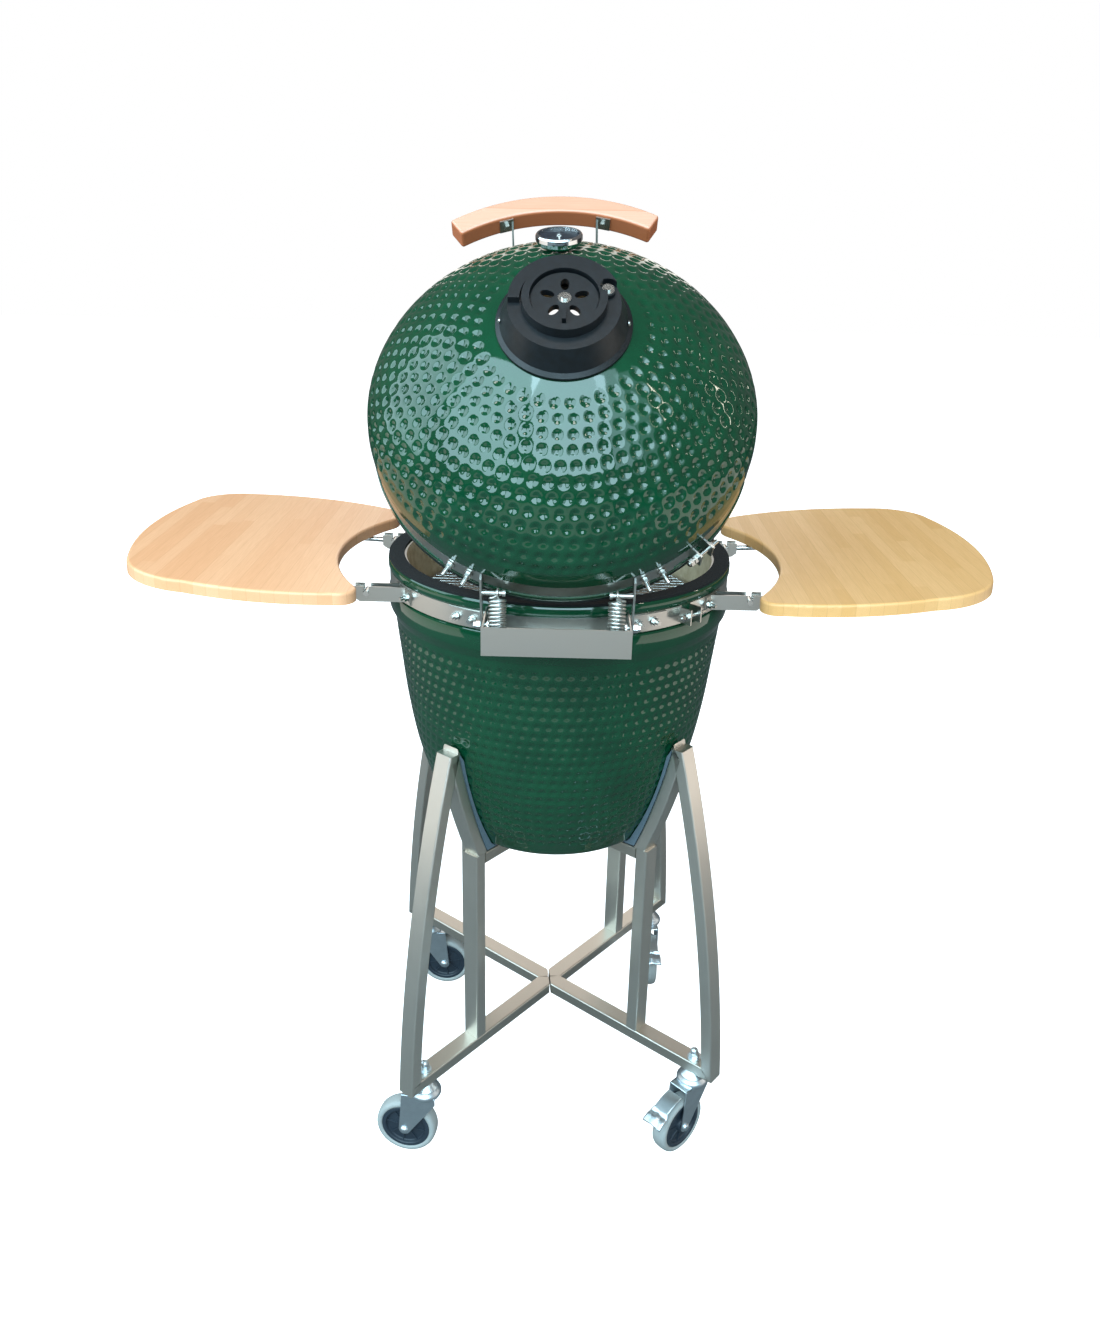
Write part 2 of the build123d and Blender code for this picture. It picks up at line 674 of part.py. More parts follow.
def shelf_bracket(side, end):
    """Channel along X with a slot for the shelf's pin, and a flange that lies on the base band."""
    centre = end * shelf_rail_y
    turn = 90 - degrees(asin(shelf_rail_y / band_outer))
    first, last = (turn - 5, turn + 5) if end > 0 else (175 - turn, 185 - turn)
    flange = band_strap(Location(), side, first, last, base_band_bottom + 1.5, band_outer + 0.1,
        band_height - 3)
    with BuildPart() as bracket:
        for wall in (-8.5, 8.5):
            wall_y = abs(centre + wall)
            inner = sqrt((band_outer + 1.2) ** 2 - wall_y**2)
            with BuildSketch(Plane.XZ.offset(-centre - wall - 1)):
                with BuildLine():
                    Polyline((side * inner, 919), (side * inner, 941), (side * (shelf_pivot_x + 18), 941),
                             (side * (shelf_pivot_x + 18), 925), (side * (shelf_pivot_x + 10), 919),
                             (side * inner, 919))
                make_face()
                with Locations((side * shelf_pivot_x, shelf_pivot_z)):
                    Circle(rail_radius + running_clearance, mode=Mode.SUBTRACT)
                with Locations((side * shelf_pivot_x, shelf_pivot_z + 8)):
                    Rectangle(2 * rail_radius + 0.1, 16, mode=Mode.SUBTRACT)
            extrude(amount=2)
        with BuildSketch(Plane.XY.offset(919)):
            with Locations((side * (shelf_pivot_x - 19.5), centre)):
                Rectangle(25, 17)
        extrude(amount=2)
        add(flange)
    return bracket.part


brackets = [shelf_bracket(side, end) for side in (-1, 1) for end in (-1, 1)]
save(Compound(children=brackets), "shelf_brackets")

bracket_turn = 90 - degrees(asin(shelf_rail_y / band_outer))
bracket_angles = [sign * a for sign in (-1, 1) for a in (bracket_turn - 4, 180 - bracket_turn + 4)]
save(Compound(children=[radial_bolt(band_point(a, strap_outer + 0.1, base_bolt_z),
    12) for a in bracket_angles]),
     "shelf_bracket_bolts")

# ---- stand --------------------------------------------------------------------------------


stem_radius, fork_top = 5.0, 122.0
axle_radius = 4.0
fork_half, fork_plate = 18.0, 2.5


def stem_xy(angle):
    turn = radians(angle + stand_turn)
    return (caster_radius * cos(turn), caster_radius * sin(turn))


def tube(angle, draw):
    """Welded rectangular tube drawn as a side view in one corner plane, hollow inside."""
    with BuildPart() as bar:
        with BuildSketch(corner_plane(angle)):
            draw()
        extrude(amount=tube_width / 2, both=True)
        with BuildSketch(corner_plane(angle)):
            draw()
            offset(amount=-tube_wall, mode=Mode.REPLACE)
        extrude(amount=tube_width / 2 - tube_wall, both=True, mode=Mode.SUBTRACT)
    return bar.part


leg_middle = ((leg_head + leg_foot) / 2 + leg_bow, (leg_top + bar_bottom) / 2)


def draw_leg():
    foot_in, head_in = leg_foot - tube_depth - 0.1, leg_head - 18
    with BuildLine() as line:
        ThreePointArc((leg_foot, bar_bottom), leg_middle, (leg_head, leg_top))
        Line((leg_head, leg_top), (head_in + 3, leg_top))
        ThreePointArc((head_in + 3, leg_top), (leg_middle[0] - tube_depth - 2, leg_middle[1]),
            (foot_in, bar_bottom + tube_depth))
        Line((foot_in, bar_bottom + tube_depth), (leg_foot, bar_bottom))
    make_face(line.edges())


strut_top, strut_foot = (236.0, 705.0), (177.5, 517.0)


def draw_strut():
    with BuildLine() as line:
        ThreePointArc(strut_top, (213.5, 617), strut_foot)
        Line(strut_foot, (post_outer - 3, 514.5))
        ThreePointArc((post_outer - 3, 514.5), (222, 585), (240.5, 650))
        Line((240.5, 650), strut_top)
    make_face(line.edges())


def draw_post():
    with BuildLine() as line:
        Polyline((post_inner, bar_bottom + tube_depth + 0.1), (post_outer, bar_bottom + tube_depth + 0.1),
                 (post_outer, 513.5), (post_inner, 516), (post_inner, bar_bottom + tube_depth + 0.1))
    make_face(line.edges())


def draw_lower_bar():
    with BuildLine() as line:
        Polyline((-15, bar_bottom), (leg_foot - 0.3, bar_bottom),
            (leg_foot - tube_depth - 0.3, bar_bottom + tube_depth),
                 (-15, bar_bottom + tube_depth), (-15, bar_bottom))
    make_face(line.edges())


def draw_upper_bar():
    with BuildLine() as line:
        Polyline((-15, upper_bar_bottom), (post_inner - 0.1, upper_bar_bottom),
            (post_inner - 0.1, upper_bar_bottom + 20),
                 (-15, upper_bar_bottom + 20), (-15, upper_bar_bottom))
    make_face(line.edges())


side_curve = Spline(*side_points)
pad_inner = []
for step in range(5, 62, 4):
    place, heading = side_curve @ (step / 100), side_curve % (step / 100)
    if place.Y < 700:
        pad_inner.append((place.X + 0.4 * heading.Y, place.Y - 0.4 * heading.X))


def draw_pad():
    with BuildLine() as line:
        Polyline((strut_foot[0] - 0.2, strut_foot[1] - 0.4), (120, 514.2), (120, 516.6), (150, 516.6),
            (163, 519.4), (169.2, 526.2),
                 pad_inner[0])
        Spline(*pad_inner)
        Line(pad_inner[-1], (strut_top[0] - 0.2, strut_top[1]))
        ThreePointArc((strut_top[0] - 0.2, strut_top[1]), (213.3, 617),
            (strut_foot[0] - 0.2, strut_foot[1] - 0.4))
    make_face(line.edges())


def strip(angle, draw, width):
    """Solid strip of the given width drawn as a side view in one corner plane."""
    with BuildPart() as bar:
        with BuildSketch(corner_plane(angle)):
            draw()
        extrude(amount=width / 2, both=True)
    return bar.part


def crossbar(angle, draw, bottom):
    """Tube that is mitred where the four bars of a cross meet, with a seam across the middle."""
    side_x, side_y = (1 if cos(radians(angle)) > 0 else -1), (1 if sin(radians(angle)) > 0 else -1)
    with BuildPart() as bar:
        add(tube(angle, draw))
        with BuildSketch(Plane.XY.offset(bottom - 1).rotated((0, 0, stand_turn))):
            with Locations((side_x * (200 + seam / 2), side_y * 200.05)):
                Rectangle(400, 400)
        extrude(amount=tube_depth + 2, mode=Mode.INTERSECT)
        with BuildSketch(Plane.XY.offset(bottom - 1)):
            with Locations(stem_xy(angle)):
                Circle(stem_radius + running_clearance)
        extrude(amount=tube_depth + 2, mode=Mode.SUBTRACT)
    return bar.part


for name, draw in {"outer_legs": draw_leg, "cradle_struts": draw_strut, "inner_posts": draw_post}.items():
    save(Compound(children=[tube(angle, draw) for angle in corner_angles.values()]), name)
for name, draw, bottom in (("lower_bars", draw_lower_bar, bar_bottom),
    ("upper_bars", draw_upper_bar, upper_bar_bottom)):
    save(Compound(children=[crossbar(angle, draw, bottom) for angle in corner_angles.values()]), name)
save(Compound(children=[strip(angle, draw_pad, tube_width) for angle in corner_angles.values()]),
    "cradle_pads")

# ---- casters ------------------------------------------------------------------------------
def caster_stem(angle):
    """Threaded stem through a bar, with washers, a nut below and a dome nut above."""
    with BuildPart() as stem:
        column = ((fork_top + 0.2, 52, stem_radius), (bar_bottom - 2, 2, 11),
            (bar_bottom + 20, 2, 11), (171, 6, 6.5))
        for bottom, height, radius in column:
            with BuildSketch(Plane.XY.offset(bottom)):
                with Locations(stem_xy(angle)):
                    Circle(radius)
            extrude(amount=height)
        with BuildSketch(Plane.XY.offset(166)):
            with Locations(stem_xy(angle)):
                RegularPolygon(8.5, 6)
        extrude(amount=7)
        with Locations(Pos(*stem_xy(angle), 176)):
            Sphere(6.5)
    return stem.part


for name, angle in corner_angles.items():
    x, y = stem_xy(angle)
    place = Pos(x, y, 0) * Rot(0, 0, caster_headings[name])
    axle = place * Pos(caster_trail, 0, wheel_radius)
    with BuildPart() as fork:
        with BuildSketch(on(place, Plane.XY.offset(fork_top - fork_plate))):
            with BuildLine():
                Polyline((-18, -fork_half), (caster_trail + 8, -fork_half),
                    (caster_trail + 8, fork_half), (-18, fork_half), (-18, -fork_half))
            make_face()
        extrude(amount=fork_plate)
        for wall in (-fork_half, fork_half - fork_plate):
            with BuildSketch(on(place, Plane.XZ.offset(-wall))):
                with BuildLine():
                    Polyline((-18, fork_top), (caster_trail + 8, fork_top),
                        (caster_trail + 9, wheel_radius - 4), (caster_trail, wheel_radius - 10),
                             (caster_trail - 9, wheel_radius - 4), (-18, fork_top - 14), (-18, fork_top))
                make_face()
            extrude(amount=-fork_plate)
        with BuildSketch(on(place, Plane.XZ)):
            with BuildLine():
                Polyline((0, fork_top), (22, fork_top), (21, 130), (14, 138), (0, 138), (0, fork_top))
            make_face()
        revolve(axis=Axis((x, y, 0), (0, 0, 1)))
        with BuildSketch(on(place, Plane.XY.offset(fork_top - 5))):
            Circle(stem_radius + 1)
        extrude(amount=30, mode=Mode.SUBTRACT)
        with BuildSketch(on(axle, Plane.XZ.offset(-fork_half - 6))):
            Circle(axle_radius)
        extrude(amount=2 * fork_half + 12)
        for face in (-fork_half - 6, fork_half + 0.2):
            with BuildSketch(on(axle, Plane.XZ.offset(face))):
                RegularPolygon(6.8, 6)
            extrude(amount=5.8)
    save(fork.part, f"caster_fork_{name}")

    with BuildPart() as hub:
        with BuildSketch(on(axle, Plane.XY)):
            with BuildLine():
                Polyline((axle_radius + running_clearance, -14.6), (12, -14.6), (14, -8), (33, -6),
                    (36, -12), (40, -12), (40, 12), (36, 12),
                         (33, 6), (14, 8), (12, 14.6), (axle_radius + running_clearance, 14.6),
                         (axle_radius + running_clearance, -14.6))
            make_face()
        revolve(axis=Axis(axle.position, (axle * Pos(0, 1, 0)).position - axle.position))
    save(hub.part, f"caster_hub_{name}")

    with BuildPart() as tyre:
        with BuildSketch(on(axle, Plane.XY)):
            with BuildLine():
                half = wheel_width / 2
                Polyline((40.05, -half + 1), (44, -half), (48, -half + 1.5))
                ThreePointArc((48, -half + 1.5), (wheel_radius, 0), (48, half - 1.5))
                Polyline((48, half - 1.5), (44, half), (40.05, half - 1), (40.05, -half + 1))
            make_face()
        revolve(axis=Axis(axle.position, (axle * Pos(0, 1, 0)).position - axle.position))
    save(tyre.part, f"caster_tyre_{name}")

    if name in braked_corners:
        with BuildPart() as pedal:
            with BuildSketch(on(place, Plane.XZ.offset(-13))):
                with BuildLine():
                    Polyline(
                        (caster_trail + 9, 112), (caster_trail + 26, 108.5), (caster_trail + 46, 100),
                        (caster_trail + 66, 88.5), (caster_trail + 67.5, 91), (caster_trail + 47, 103),
                        (caster_trail + 27, 111.5), (caster_trail + 10, 115), (caster_trail + 9, 112),
                    )
                make_face()
            extrude(amount=26)
            with BuildSketch(on(place, Plane.XZ.offset(-13))):
                with Locations((caster_trail + 10, 113)):
                    Circle(2.5)
            extrude(amount=26)
        save(pedal.part, f"brake_pedal_{name}")

save(Compound(children=[caster_stem(angle) for angle in corner_angles.values()]), "caster_stems")
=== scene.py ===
# Kamado grill on its wheeled stand: the looks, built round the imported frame. Metres, +Z up.
import json

import bpy
import numpy as np
from mathutils import Matrix, Vector

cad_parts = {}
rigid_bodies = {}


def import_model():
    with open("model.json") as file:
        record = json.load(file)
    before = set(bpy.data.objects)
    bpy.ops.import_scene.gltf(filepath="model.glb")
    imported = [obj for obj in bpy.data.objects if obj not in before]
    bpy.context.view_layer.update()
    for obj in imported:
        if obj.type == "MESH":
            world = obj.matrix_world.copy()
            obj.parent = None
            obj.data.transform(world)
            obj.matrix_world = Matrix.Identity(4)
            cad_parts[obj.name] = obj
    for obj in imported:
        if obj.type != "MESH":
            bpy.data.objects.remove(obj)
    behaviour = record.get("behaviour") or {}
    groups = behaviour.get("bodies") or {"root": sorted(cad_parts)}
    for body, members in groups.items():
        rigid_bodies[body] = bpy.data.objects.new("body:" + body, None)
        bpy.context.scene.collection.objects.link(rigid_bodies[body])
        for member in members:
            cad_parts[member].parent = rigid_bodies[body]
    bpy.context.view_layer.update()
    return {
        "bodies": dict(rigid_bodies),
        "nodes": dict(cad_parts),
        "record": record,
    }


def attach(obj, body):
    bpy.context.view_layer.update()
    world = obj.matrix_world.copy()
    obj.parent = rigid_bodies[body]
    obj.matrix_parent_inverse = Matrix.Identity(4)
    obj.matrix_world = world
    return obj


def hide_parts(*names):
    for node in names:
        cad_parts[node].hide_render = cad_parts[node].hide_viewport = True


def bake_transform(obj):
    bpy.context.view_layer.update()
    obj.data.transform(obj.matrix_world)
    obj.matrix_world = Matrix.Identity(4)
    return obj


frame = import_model()
nodes = frame["nodes"]
joints = {joint["name"]: joint for joint in frame["record"]["behaviour"]["joints"]}
mm = 0.001
print("frame loaded")

# the camera stands behind the hinge, a little above the lid
view = {"place": (-0.0044, 1.6078, 1.4334), "ahead": (0.0086, -0.9260, -0.3773),
        "up": (0.0248, -0.3770, 0.9259), "lens": 29.81, "sensor": 36, "farthest": 50}
cameraData = bpy.data.cameras.new("camera")
cameraData.lens = view["lens"]
cameraData.sensor_width = view["sensor"]
cameraData.clip_end = view["farthest"]
camera = bpy.data.objects.new("camera", cameraData)
ahead, up = Vector(view["ahead"]).normalized(), Vector(view["up"]).normalized()
side = ahead.cross(up).normalized()
turned = Matrix((side, side.cross(ahead), -ahead)).transposed().to_4x4()
camera.matrix_world = Matrix.Translation(view["place"]) @ turned
bpy.context.scene.collection.objects.link(camera)
bpy.context.scene.camera = camera
bpy.context.scene.view_settings.view_transform = "Standard"


def linear(hexColour):
    # sRGB hex to the linear values that shaders work in: the standard two-part curve
    values = [int(hexColour[i:i + 2], 16) / 255 for i in (1, 3, 5)]
    return tuple(v / 12.92 if v <= 0.04045 else ((v + 0.055) / 1.055) ** 2.4 for v in values)


def addNode(tree, kind, give=0, links=None, stops=(), **settings):
    # one node with its settings and links, handing back one of its outputs; links maps an input to an
    # output socket or a plain value, and stops are a ramp's (position, hex colour) pairs
    made = tree.nodes.new(kind)
    for key, value in settings.items():
        setattr(made, key, value)
    for key, value in (links or {}).items():
        if isinstance(value, bpy.types.NodeSocket):
            tree.links.new(value, made.inputs[key])
        else:
            made.inputs[key].default_value = value
    for number, (position, colour) in enumerate(stops):
        elements = made.color_ramp.elements
        element = elements[number] if number < len(elements) else elements.new(position)
        element.position = position
        element.color = (*linear(colour), 1)
    return made.outputs[give]


def newMaterial(name, colour, roughness, metallic=0.0, **sockets):
    # a Principled material with its plain values; its patterns are added after
    made = bpy.data.materials.new(name)
    made.use_nodes = True
    shader = made.node_tree.nodes["Principled BSDF"]
    shader.inputs["Base Color"].default_value = (*linear(colour), 1)
    shader.inputs["Roughness"].default_value = roughness
    shader.inputs["Metallic"].default_value = metallic
    for key, value in sockets.items():
        shader.inputs[key].default_value = value
    return made, made.node_tree, shader


def wear(nodeNames, material):
    # the same material on some CAD nodes
    for name in nodeNames:
        mesh = nodes[name].data
        mesh.materials.clear()
        mesh.materials.append(material)


def gridPiece(name, points, material, body, replaces=(), closeU=False, closeV=False, poles=(),
              attributes=None, lining=None, opened=None):
    # points[u, v] is a grid of places in metres; closing joins the last row or column to the first,
    # and a pole closes the first or last row with a fan to its middle; lining = (first row, last row,
    # material) paints some rows, and quads whose corners are all marked in opened are left out
    rows, columns = points.shape[:2]
    index = np.arange(rows * columns).reshape(rows, columns)
    if closeU:
        index = np.vstack([index, index[:1]])
    if closeV:
        index = np.hstack([index, index[:, :1]])
    quads = np.stack([index[:-1, :-1], index[:-1, 1:], index[1:, 1:], index[1:, :-1]], -1)
    slots = np.zeros(quads.shape[:2], np.int32)
    if lining:
        slots[lining[0]:lining[1]] = 1
    quads, slots = quads.reshape(-1, 4), slots.ravel()
    if opened is not None:
        kept = ~opened.ravel()[quads].all(1)
        quads, slots = quads[kept], slots[kept]
    places = points.reshape(-1, 3)
    faces = quads.tolist()
    for pole in poles:
        row = index[pole]
        middle = len(places)
        places = np.vstack([places, points[pole].mean(0)])
        ends = np.stack([row[:-1], row[1:], np.full(len(row) - 1, middle)], -1)
        faces += (ends if pole == 0 else ends[:, ::-1])[:, ::-1].tolist()
        slots = np.concatenate([slots, np.full(len(ends), slots[0 if pole == 0 else -1])])
    mesh = bpy.data.meshes.new(name)
    mesh.from_pydata(places.tolist(), [], faces)
    for key, values in (attributes or {}).items():
        flat = np.zeros(len(places), np.float32)
        flat[:values.size] = values.ravel()
        mesh.attributes.new(key, "FLOAT", "POINT").data.foreach_set("value", flat)
    mesh.materials.append(material)
    if lining:
        mesh.materials.append(lining[2])
        mesh.polygons.foreach_set("material_index", slots)
    return placed(name, mesh, body, replaces)


def placed(name, mesh, body, replaces=(), angle=None):
    # a finished mesh becomes a smooth-shaded piece that rides on its body
    mesh.polygons.foreach_set("use_smooth", np.ones(len(mesh.polygons), bool))
    if angle:
        mesh.set_sharp_from_angle(angle=np.radians(angle))
    mesh.update()
    made = bpy.data.objects.new(name, mesh)
    bpy.context.scene.collection.objects.link(made)
    if body:
        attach(made, body)
    if replaces:
        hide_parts(*replaces)
    return made


def sharpen(piece, degrees=35):
    # edges that turn by more than this stay crisp
    piece.data.set_sharp_from_angle(angle=np.radians(degrees))


def evenly(points, spacing):
    # the same open line with points at even arc length, about this far apart
    points = np.asarray(points, float)
    lengths = np.concatenate([[0], np.cumsum(np.linalg.norm(np.diff(points, axis=0), axis=1))])
    count = max(2, int(round(lengths[-1] / spacing)) + 1)
    at = np.linspace(0, lengths[-1], count)
    return np.stack([np.interp(at, lengths, points[:, k]) for k in range(points.shape[1])], -1)


def spun(profile, columns):
    # a profile of (radius, height) turned about Z: x = r cos a, y = r sin a
    angles = np.linspace(0, 2 * np.pi, columns, endpoint=False)
    radius, height = np.asarray(profile, float)[:, :1], np.asarray(profile, float)[:, 1:]
    return np.stack([radius * np.cos(angles), radius * np.sin(angles), height + 0 * angles], -1)


def moved(points, matrix):
    # a grid of places turned and shifted: R p + t
    turn = np.array(matrix.to_3x3())
    return points @ turn.T + np.array(matrix.translation)


# the lid's own frame: its rim is the ground plane, opened about the hinge pin
lidShape = {"opening": 44.0, "rimHeight": 966.0}
pin = Vector(joints["lid_hinge"]["pos_m"])
lidPlace = (Matrix.Translation(pin) @ Matrix.Rotation(-np.radians(lidShape["opening"]), 4, "X")
            @ Matrix.Translation(Vector((0, -pin.y, lidShape["rimHeight"] * mm - pin.z))))
lidUp = (0, 0.69466, 0.71934)


def makeGlaze():
    # leaded glaze on cast ceramic: deep glossy green, pooled darker in the pits, faint orange peel
    made, tree, shader = newMaterial("glazedCeramicGreen", "#06371f", 0.055, IOR=1.62)
    points = addNode(tree, "ShaderNodeTexCoord", "Object")
    cloud = addNode(tree, "ShaderNodeTexNoise", links={"Vector": points, "Scale": 1 / (60 * mm), "Detail": 4})
    speck = addNode(tree, "ShaderNodeTexNoise", links={"Vector": points, "Scale": 1 / (3 * mm), "Detail": 2})
    peel = addNode(tree, "ShaderNodeTexNoise", links={"Vector": points, "Scale": 1 / (6 * mm), "Detail": 1})
    pit = addNode(tree, "ShaderNodeAttribute", "Fac", attribute_name="pit")
    base = addNode(tree, "ShaderNodeValToRGB", links={"Fac": cloud}, stops=((0.3, "#04331e"), (0.7, "#083f26")))
    inPits = addNode(tree, "ShaderNodeMapRange", links={"Value": pit, "To Max": 0.35})
    pooled = addNode(tree, "ShaderNodeMix", 2, {0: inPits, 6: base, 7: (*linear("#042a19"), 1)}, data_type="RGBA")
    specks = addNode(tree, "ShaderNodeMapRange", links={"Value": speck, "To Max": 0.18})
    tone = addNode(tree, "ShaderNodeMix", 2, {0: specks, 6: pooled, 7: (*linear("#105239"), 1)}, data_type="RGBA")
    waves = addNode(tree, "ShaderNodeBump", "Normal", {"Height": peel, "Distance": 0.04 * mm, "Strength": 0.5})
    tree.links.new(tone, shader.inputs["Base Color"])
    tree.links.new(waves, shader.inputs["Normal"])
    return made


def makeMatte(name, colour, roughness, cloudSize, detail, stops, grain, grainDetail, depth, distortion=0.0):
    # a dull finish: its tone drifts between two colours, and fine grain roughens it
    made, tree, shader = newMaterial(name, colour, roughness)
    points = addNode(tree, "ShaderNodeTexCoord", "Object")
    broad = {"Vector": points, "Scale": 1 / (cloudSize * mm), "Detail": detail}
    cloud = addNode(tree, "ShaderNodeTexNoise", links=broad)
    tone = addNode(tree, "ShaderNodeValToRGB", links={"Fac": cloud}, stops=stops)
    links = {"Vector": points, "Scale": 1 / (grain * mm), "Detail": grainDetail, "Distortion": distortion}
    height = addNode(tree, "ShaderNodeTexNoise", links=links)
    bump = addNode(tree, "ShaderNodeBump", "Normal", {"Height": height, "Distance": depth * mm, "Strength": 1.0})
    tree.links.new(tone, shader.inputs["Base Color"])
    tree.links.new(bump, shader.inputs["Normal"])
    return made


def makeSteel(name, colour, roughness, grain=(1, 1, 1), depth=0.008):
    # brushed stainless: fine parallel scratches, drawn out along the axis with the small scale
    made, tree, shader = newMaterial(name, colour, roughness, 1.0)
    points = addNode(tree, "ShaderNodeTexCoord", "Object")
    drawn = addNode(tree, "ShaderNodeMapping", links={"Vector": points, "Scale": grain})
    lines = addNode(tree, "ShaderNodeTexNoise", links={"Vector": drawn, "Scale": 1 / (1.2 * mm), "Detail": 3})
    broad = addNode(tree, "ShaderNodeTexNoise", links={"Vector": points, "Scale": 1 / (45 * mm), "Detail": 3})
    spread = {"Value": lines, "To Min": roughness * 0.85, "To Max": roughness * 1.2}
    gloss = addNode(tree, "ShaderNodeMapRange", links=spread)
    warmth = addNode(tree, "ShaderNodeMapRange", links={"Value": broad, "To Max": 0.35})
    plain, warm = (*linear(colour), 1), (*linear("#c9c1b5"), 1)
    tint = addNode(tree, "ShaderNodeMix", 2, {0: warmth, 6: plain, 7: warm}, data_type="RGBA")
    scratch = addNode(tree, "ShaderNodeBump", "Normal", {"Height": lines, "Distance": depth * mm, "Strength": 0.2})
    tree.links.new(gloss, shader.inputs["Roughness"])
    tree.links.new(tint, shader.inputs["Base Color"])
    tree.links.new(scratch, shader.inputs["Normal"])
    return made


bamboo = {"stripWidth": 19, "stripLength": 380, "fibre": 1.3, "band": 7, "stretch": 0.03, "seam": 0.035,
          "coat": 0.12, "coatRoughness": 0.25}


def makeBamboo(name, light, middle, dark, stripWidth=bamboo["stripWidth"], along="Y", across="X", sideShade=None):
    # laminated bamboo: strips side by side, each its own tone, long fibres, under a thin satin oil
    made, tree, shader = newMaterial(name, middle, 0.42)
    shader.inputs["Coat Weight"].default_value = bamboo["coat"]
    shader.inputs["Coat Roughness"].default_value = bamboo["coatRoughness"]
    points = addNode(tree, "ShaderNodeTexCoord", "Object")
    sideways = addNode(tree, "ShaderNodeSeparateXYZ", across, {"Vector": points})
    lengthways = addNode(tree, "ShaderNodeSeparateXYZ", along, {"Vector": points})
    strips = addNode(tree, "ShaderNodeMath", 0, {0: sideways, 1: 1 / (stripWidth * mm)}, operation="MULTIPLY")
    strip = addNode(tree, "ShaderNodeMath", 0, {0: strips}, operation="FLOOR")
    # each strip is cut in lengths that start at their own offset
    offset = addNode(tree, "ShaderNodeTexWhiteNoise", "Value", {"W": strip}, noise_dimensions="1D")
    perLength = {0: lengthways, 1: 1 / (bamboo["stripLength"] * mm), 2: offset}
    lengths = addNode(tree, "ShaderNodeMath", 0, perLength, operation="MULTIPLY_ADD")
    length = addNode(tree, "ShaderNodeMath", 0, {0: lengths}, operation="FLOOR")
    both = addNode(tree, "ShaderNodeCombineXYZ", 0, {"X": strip, "Y": length})
    tone = addNode(tree, "ShaderNodeTexWhiteNoise", "Value", {"Vector": both}, noise_dimensions="3D")
    base = addNode(tree, "ShaderNodeValToRGB", 0, {"Fac": tone}, ((0.0, middle), (0.55, light), (1.0, middle)))
    # fibres and broader bands run along the strips
    scale = (1, bamboo["stretch"], 1) if along == "Y" else (bamboo["stretch"], 1, 1)
    drawn = addNode(tree, "ShaderNodeMapping", links={"Vector": points, "Scale": scale})
    fibres = addNode(tree, "ShaderNodeTexNoise", 0, {"Vector": drawn, "Scale": 1 / (bamboo["fibre"] * mm), "Detail": 4})
    bands = addNode(tree, "ShaderNodeTexNoise", 0, {"Vector": drawn, "Scale": 1 / (bamboo["band"] * mm), "Detail": 2})
    inFibres = addNode(tree, "ShaderNodeMapRange", links={"Value": fibres, "To Max": 0.55})
    inBands = addNode(tree, "ShaderNodeMapRange", links={"Value": bands, "To Max": 0.30})
    darkTone, lightTone = (*linear(dark), 1), (*linear(light), 1)
    grained = addNode(tree, "ShaderNodeMix", 2, {0: inFibres, 6: base, 7: darkTone}, data_type="RGBA")
    banded = addNode(tree, "ShaderNodeMix", 2, {0: inBands, 6: grained, 7: lightTone}, data_type="RGBA")
    # the glue lines show as hair-thin darker seams
    fraction = addNode(tree, "ShaderNodeMath", 0, {0: strips}, operation="FRACT")
    atSeam = addNode(tree, "ShaderNodeMath", 0, {0: fraction, 1: bamboo["seam"]}, operation="LESS_THAN")
    seam = addNode(tree, "ShaderNodeMath", 0, {0: atSeam, 1: 0.35}, operation="MULTIPLY")
    finished = addNode(tree, "ShaderNodeMix", 2, {0: seam, 6: banded, 7: darkTone}, data_type="RGBA")
    if sideShade:
        # painted shade: faces turned away from the lid's up direction are painted darker and redder than the top, as if
        # the sides were in shade
        facing = addNode(tree, "ShaderNodeTexCoord", "Normal")
        upward = addNode(tree, "ShaderNodeVectorMath", "Value", {0: facing, 1: lidUp}, operation="DOT_PRODUCT")
        links = {"Value": upward, "From Min": 0.55, "From Max": 0.85, "To Min": 0.9, "To Max": 0.0}
        level = addNode(tree, "ShaderNodeMapRange", links=links)
        sides = {0: level, 6: finished, 7: (*linear(sideShade), 1)}
        finished = addNode(tree, "ShaderNodeMix", 2, sides, data_type="RGBA")
    gloss = addNode(tree, "ShaderNodeMapRange", links={"Value": fibres, "To Min": 0.36, "To Max": 0.52})
    ridges = addNode(tree, "ShaderNodeBump", "Normal", {"Height": fibres, "Distance": 0.06 * mm, "Strength": 0.5})
    tree.links.new(finished, shader.inputs["Base Color"])
    tree.links.new(gloss, shader.inputs["Roughness"])
    tree.links.new(ridges, shader.inputs["Normal"])
    return made


def makeCastIron():
    # cast iron under satin black enamel: dark, slightly blue where it shines, fine sand-cast grain
    made, tree, shader = newMaterial("enamelledCastIron", "#0b1115", 0.36, IOR=1.5)
    points = addNode(tree, "ShaderNodeTexCoord", "Object")
    cloud = addNode(tree, "ShaderNodeTexNoise", links={"Vector": points, "Scale": 1 / (9 * mm), "Detail": 3})
    patch = addNode(tree, "ShaderNodeTexNoise", links={"Vector": points, "Scale": 1 / (4 * mm), "Detail": 3})
    sand = addNode(tree, "ShaderNodeTexNoise", links={"Vector": points, "Scale": 1 / (1.1 * mm), "Detail": 2})
    tone = addNode(tree, "ShaderNodeValToRGB", links={"Fac": cloud}, stops=((0.3, "#070b0e"), (0.7, "#0d1318")))
    gloss = addNode(tree, "ShaderNodeMapRange", links={"Value": patch, "To Min": 0.36, "To Max": 0.5})
    grain = addNode(tree, "ShaderNodeBump", "Normal", {"Height": sand, "Distance": 0.12 * mm, "Strength": 0.5})
    tree.links.new(tone, shader.inputs["Base Color"])
    tree.links.new(gloss, shader.inputs["Roughness"])
    tree.links.new(grain, shader.inputs["Normal"])
    return made


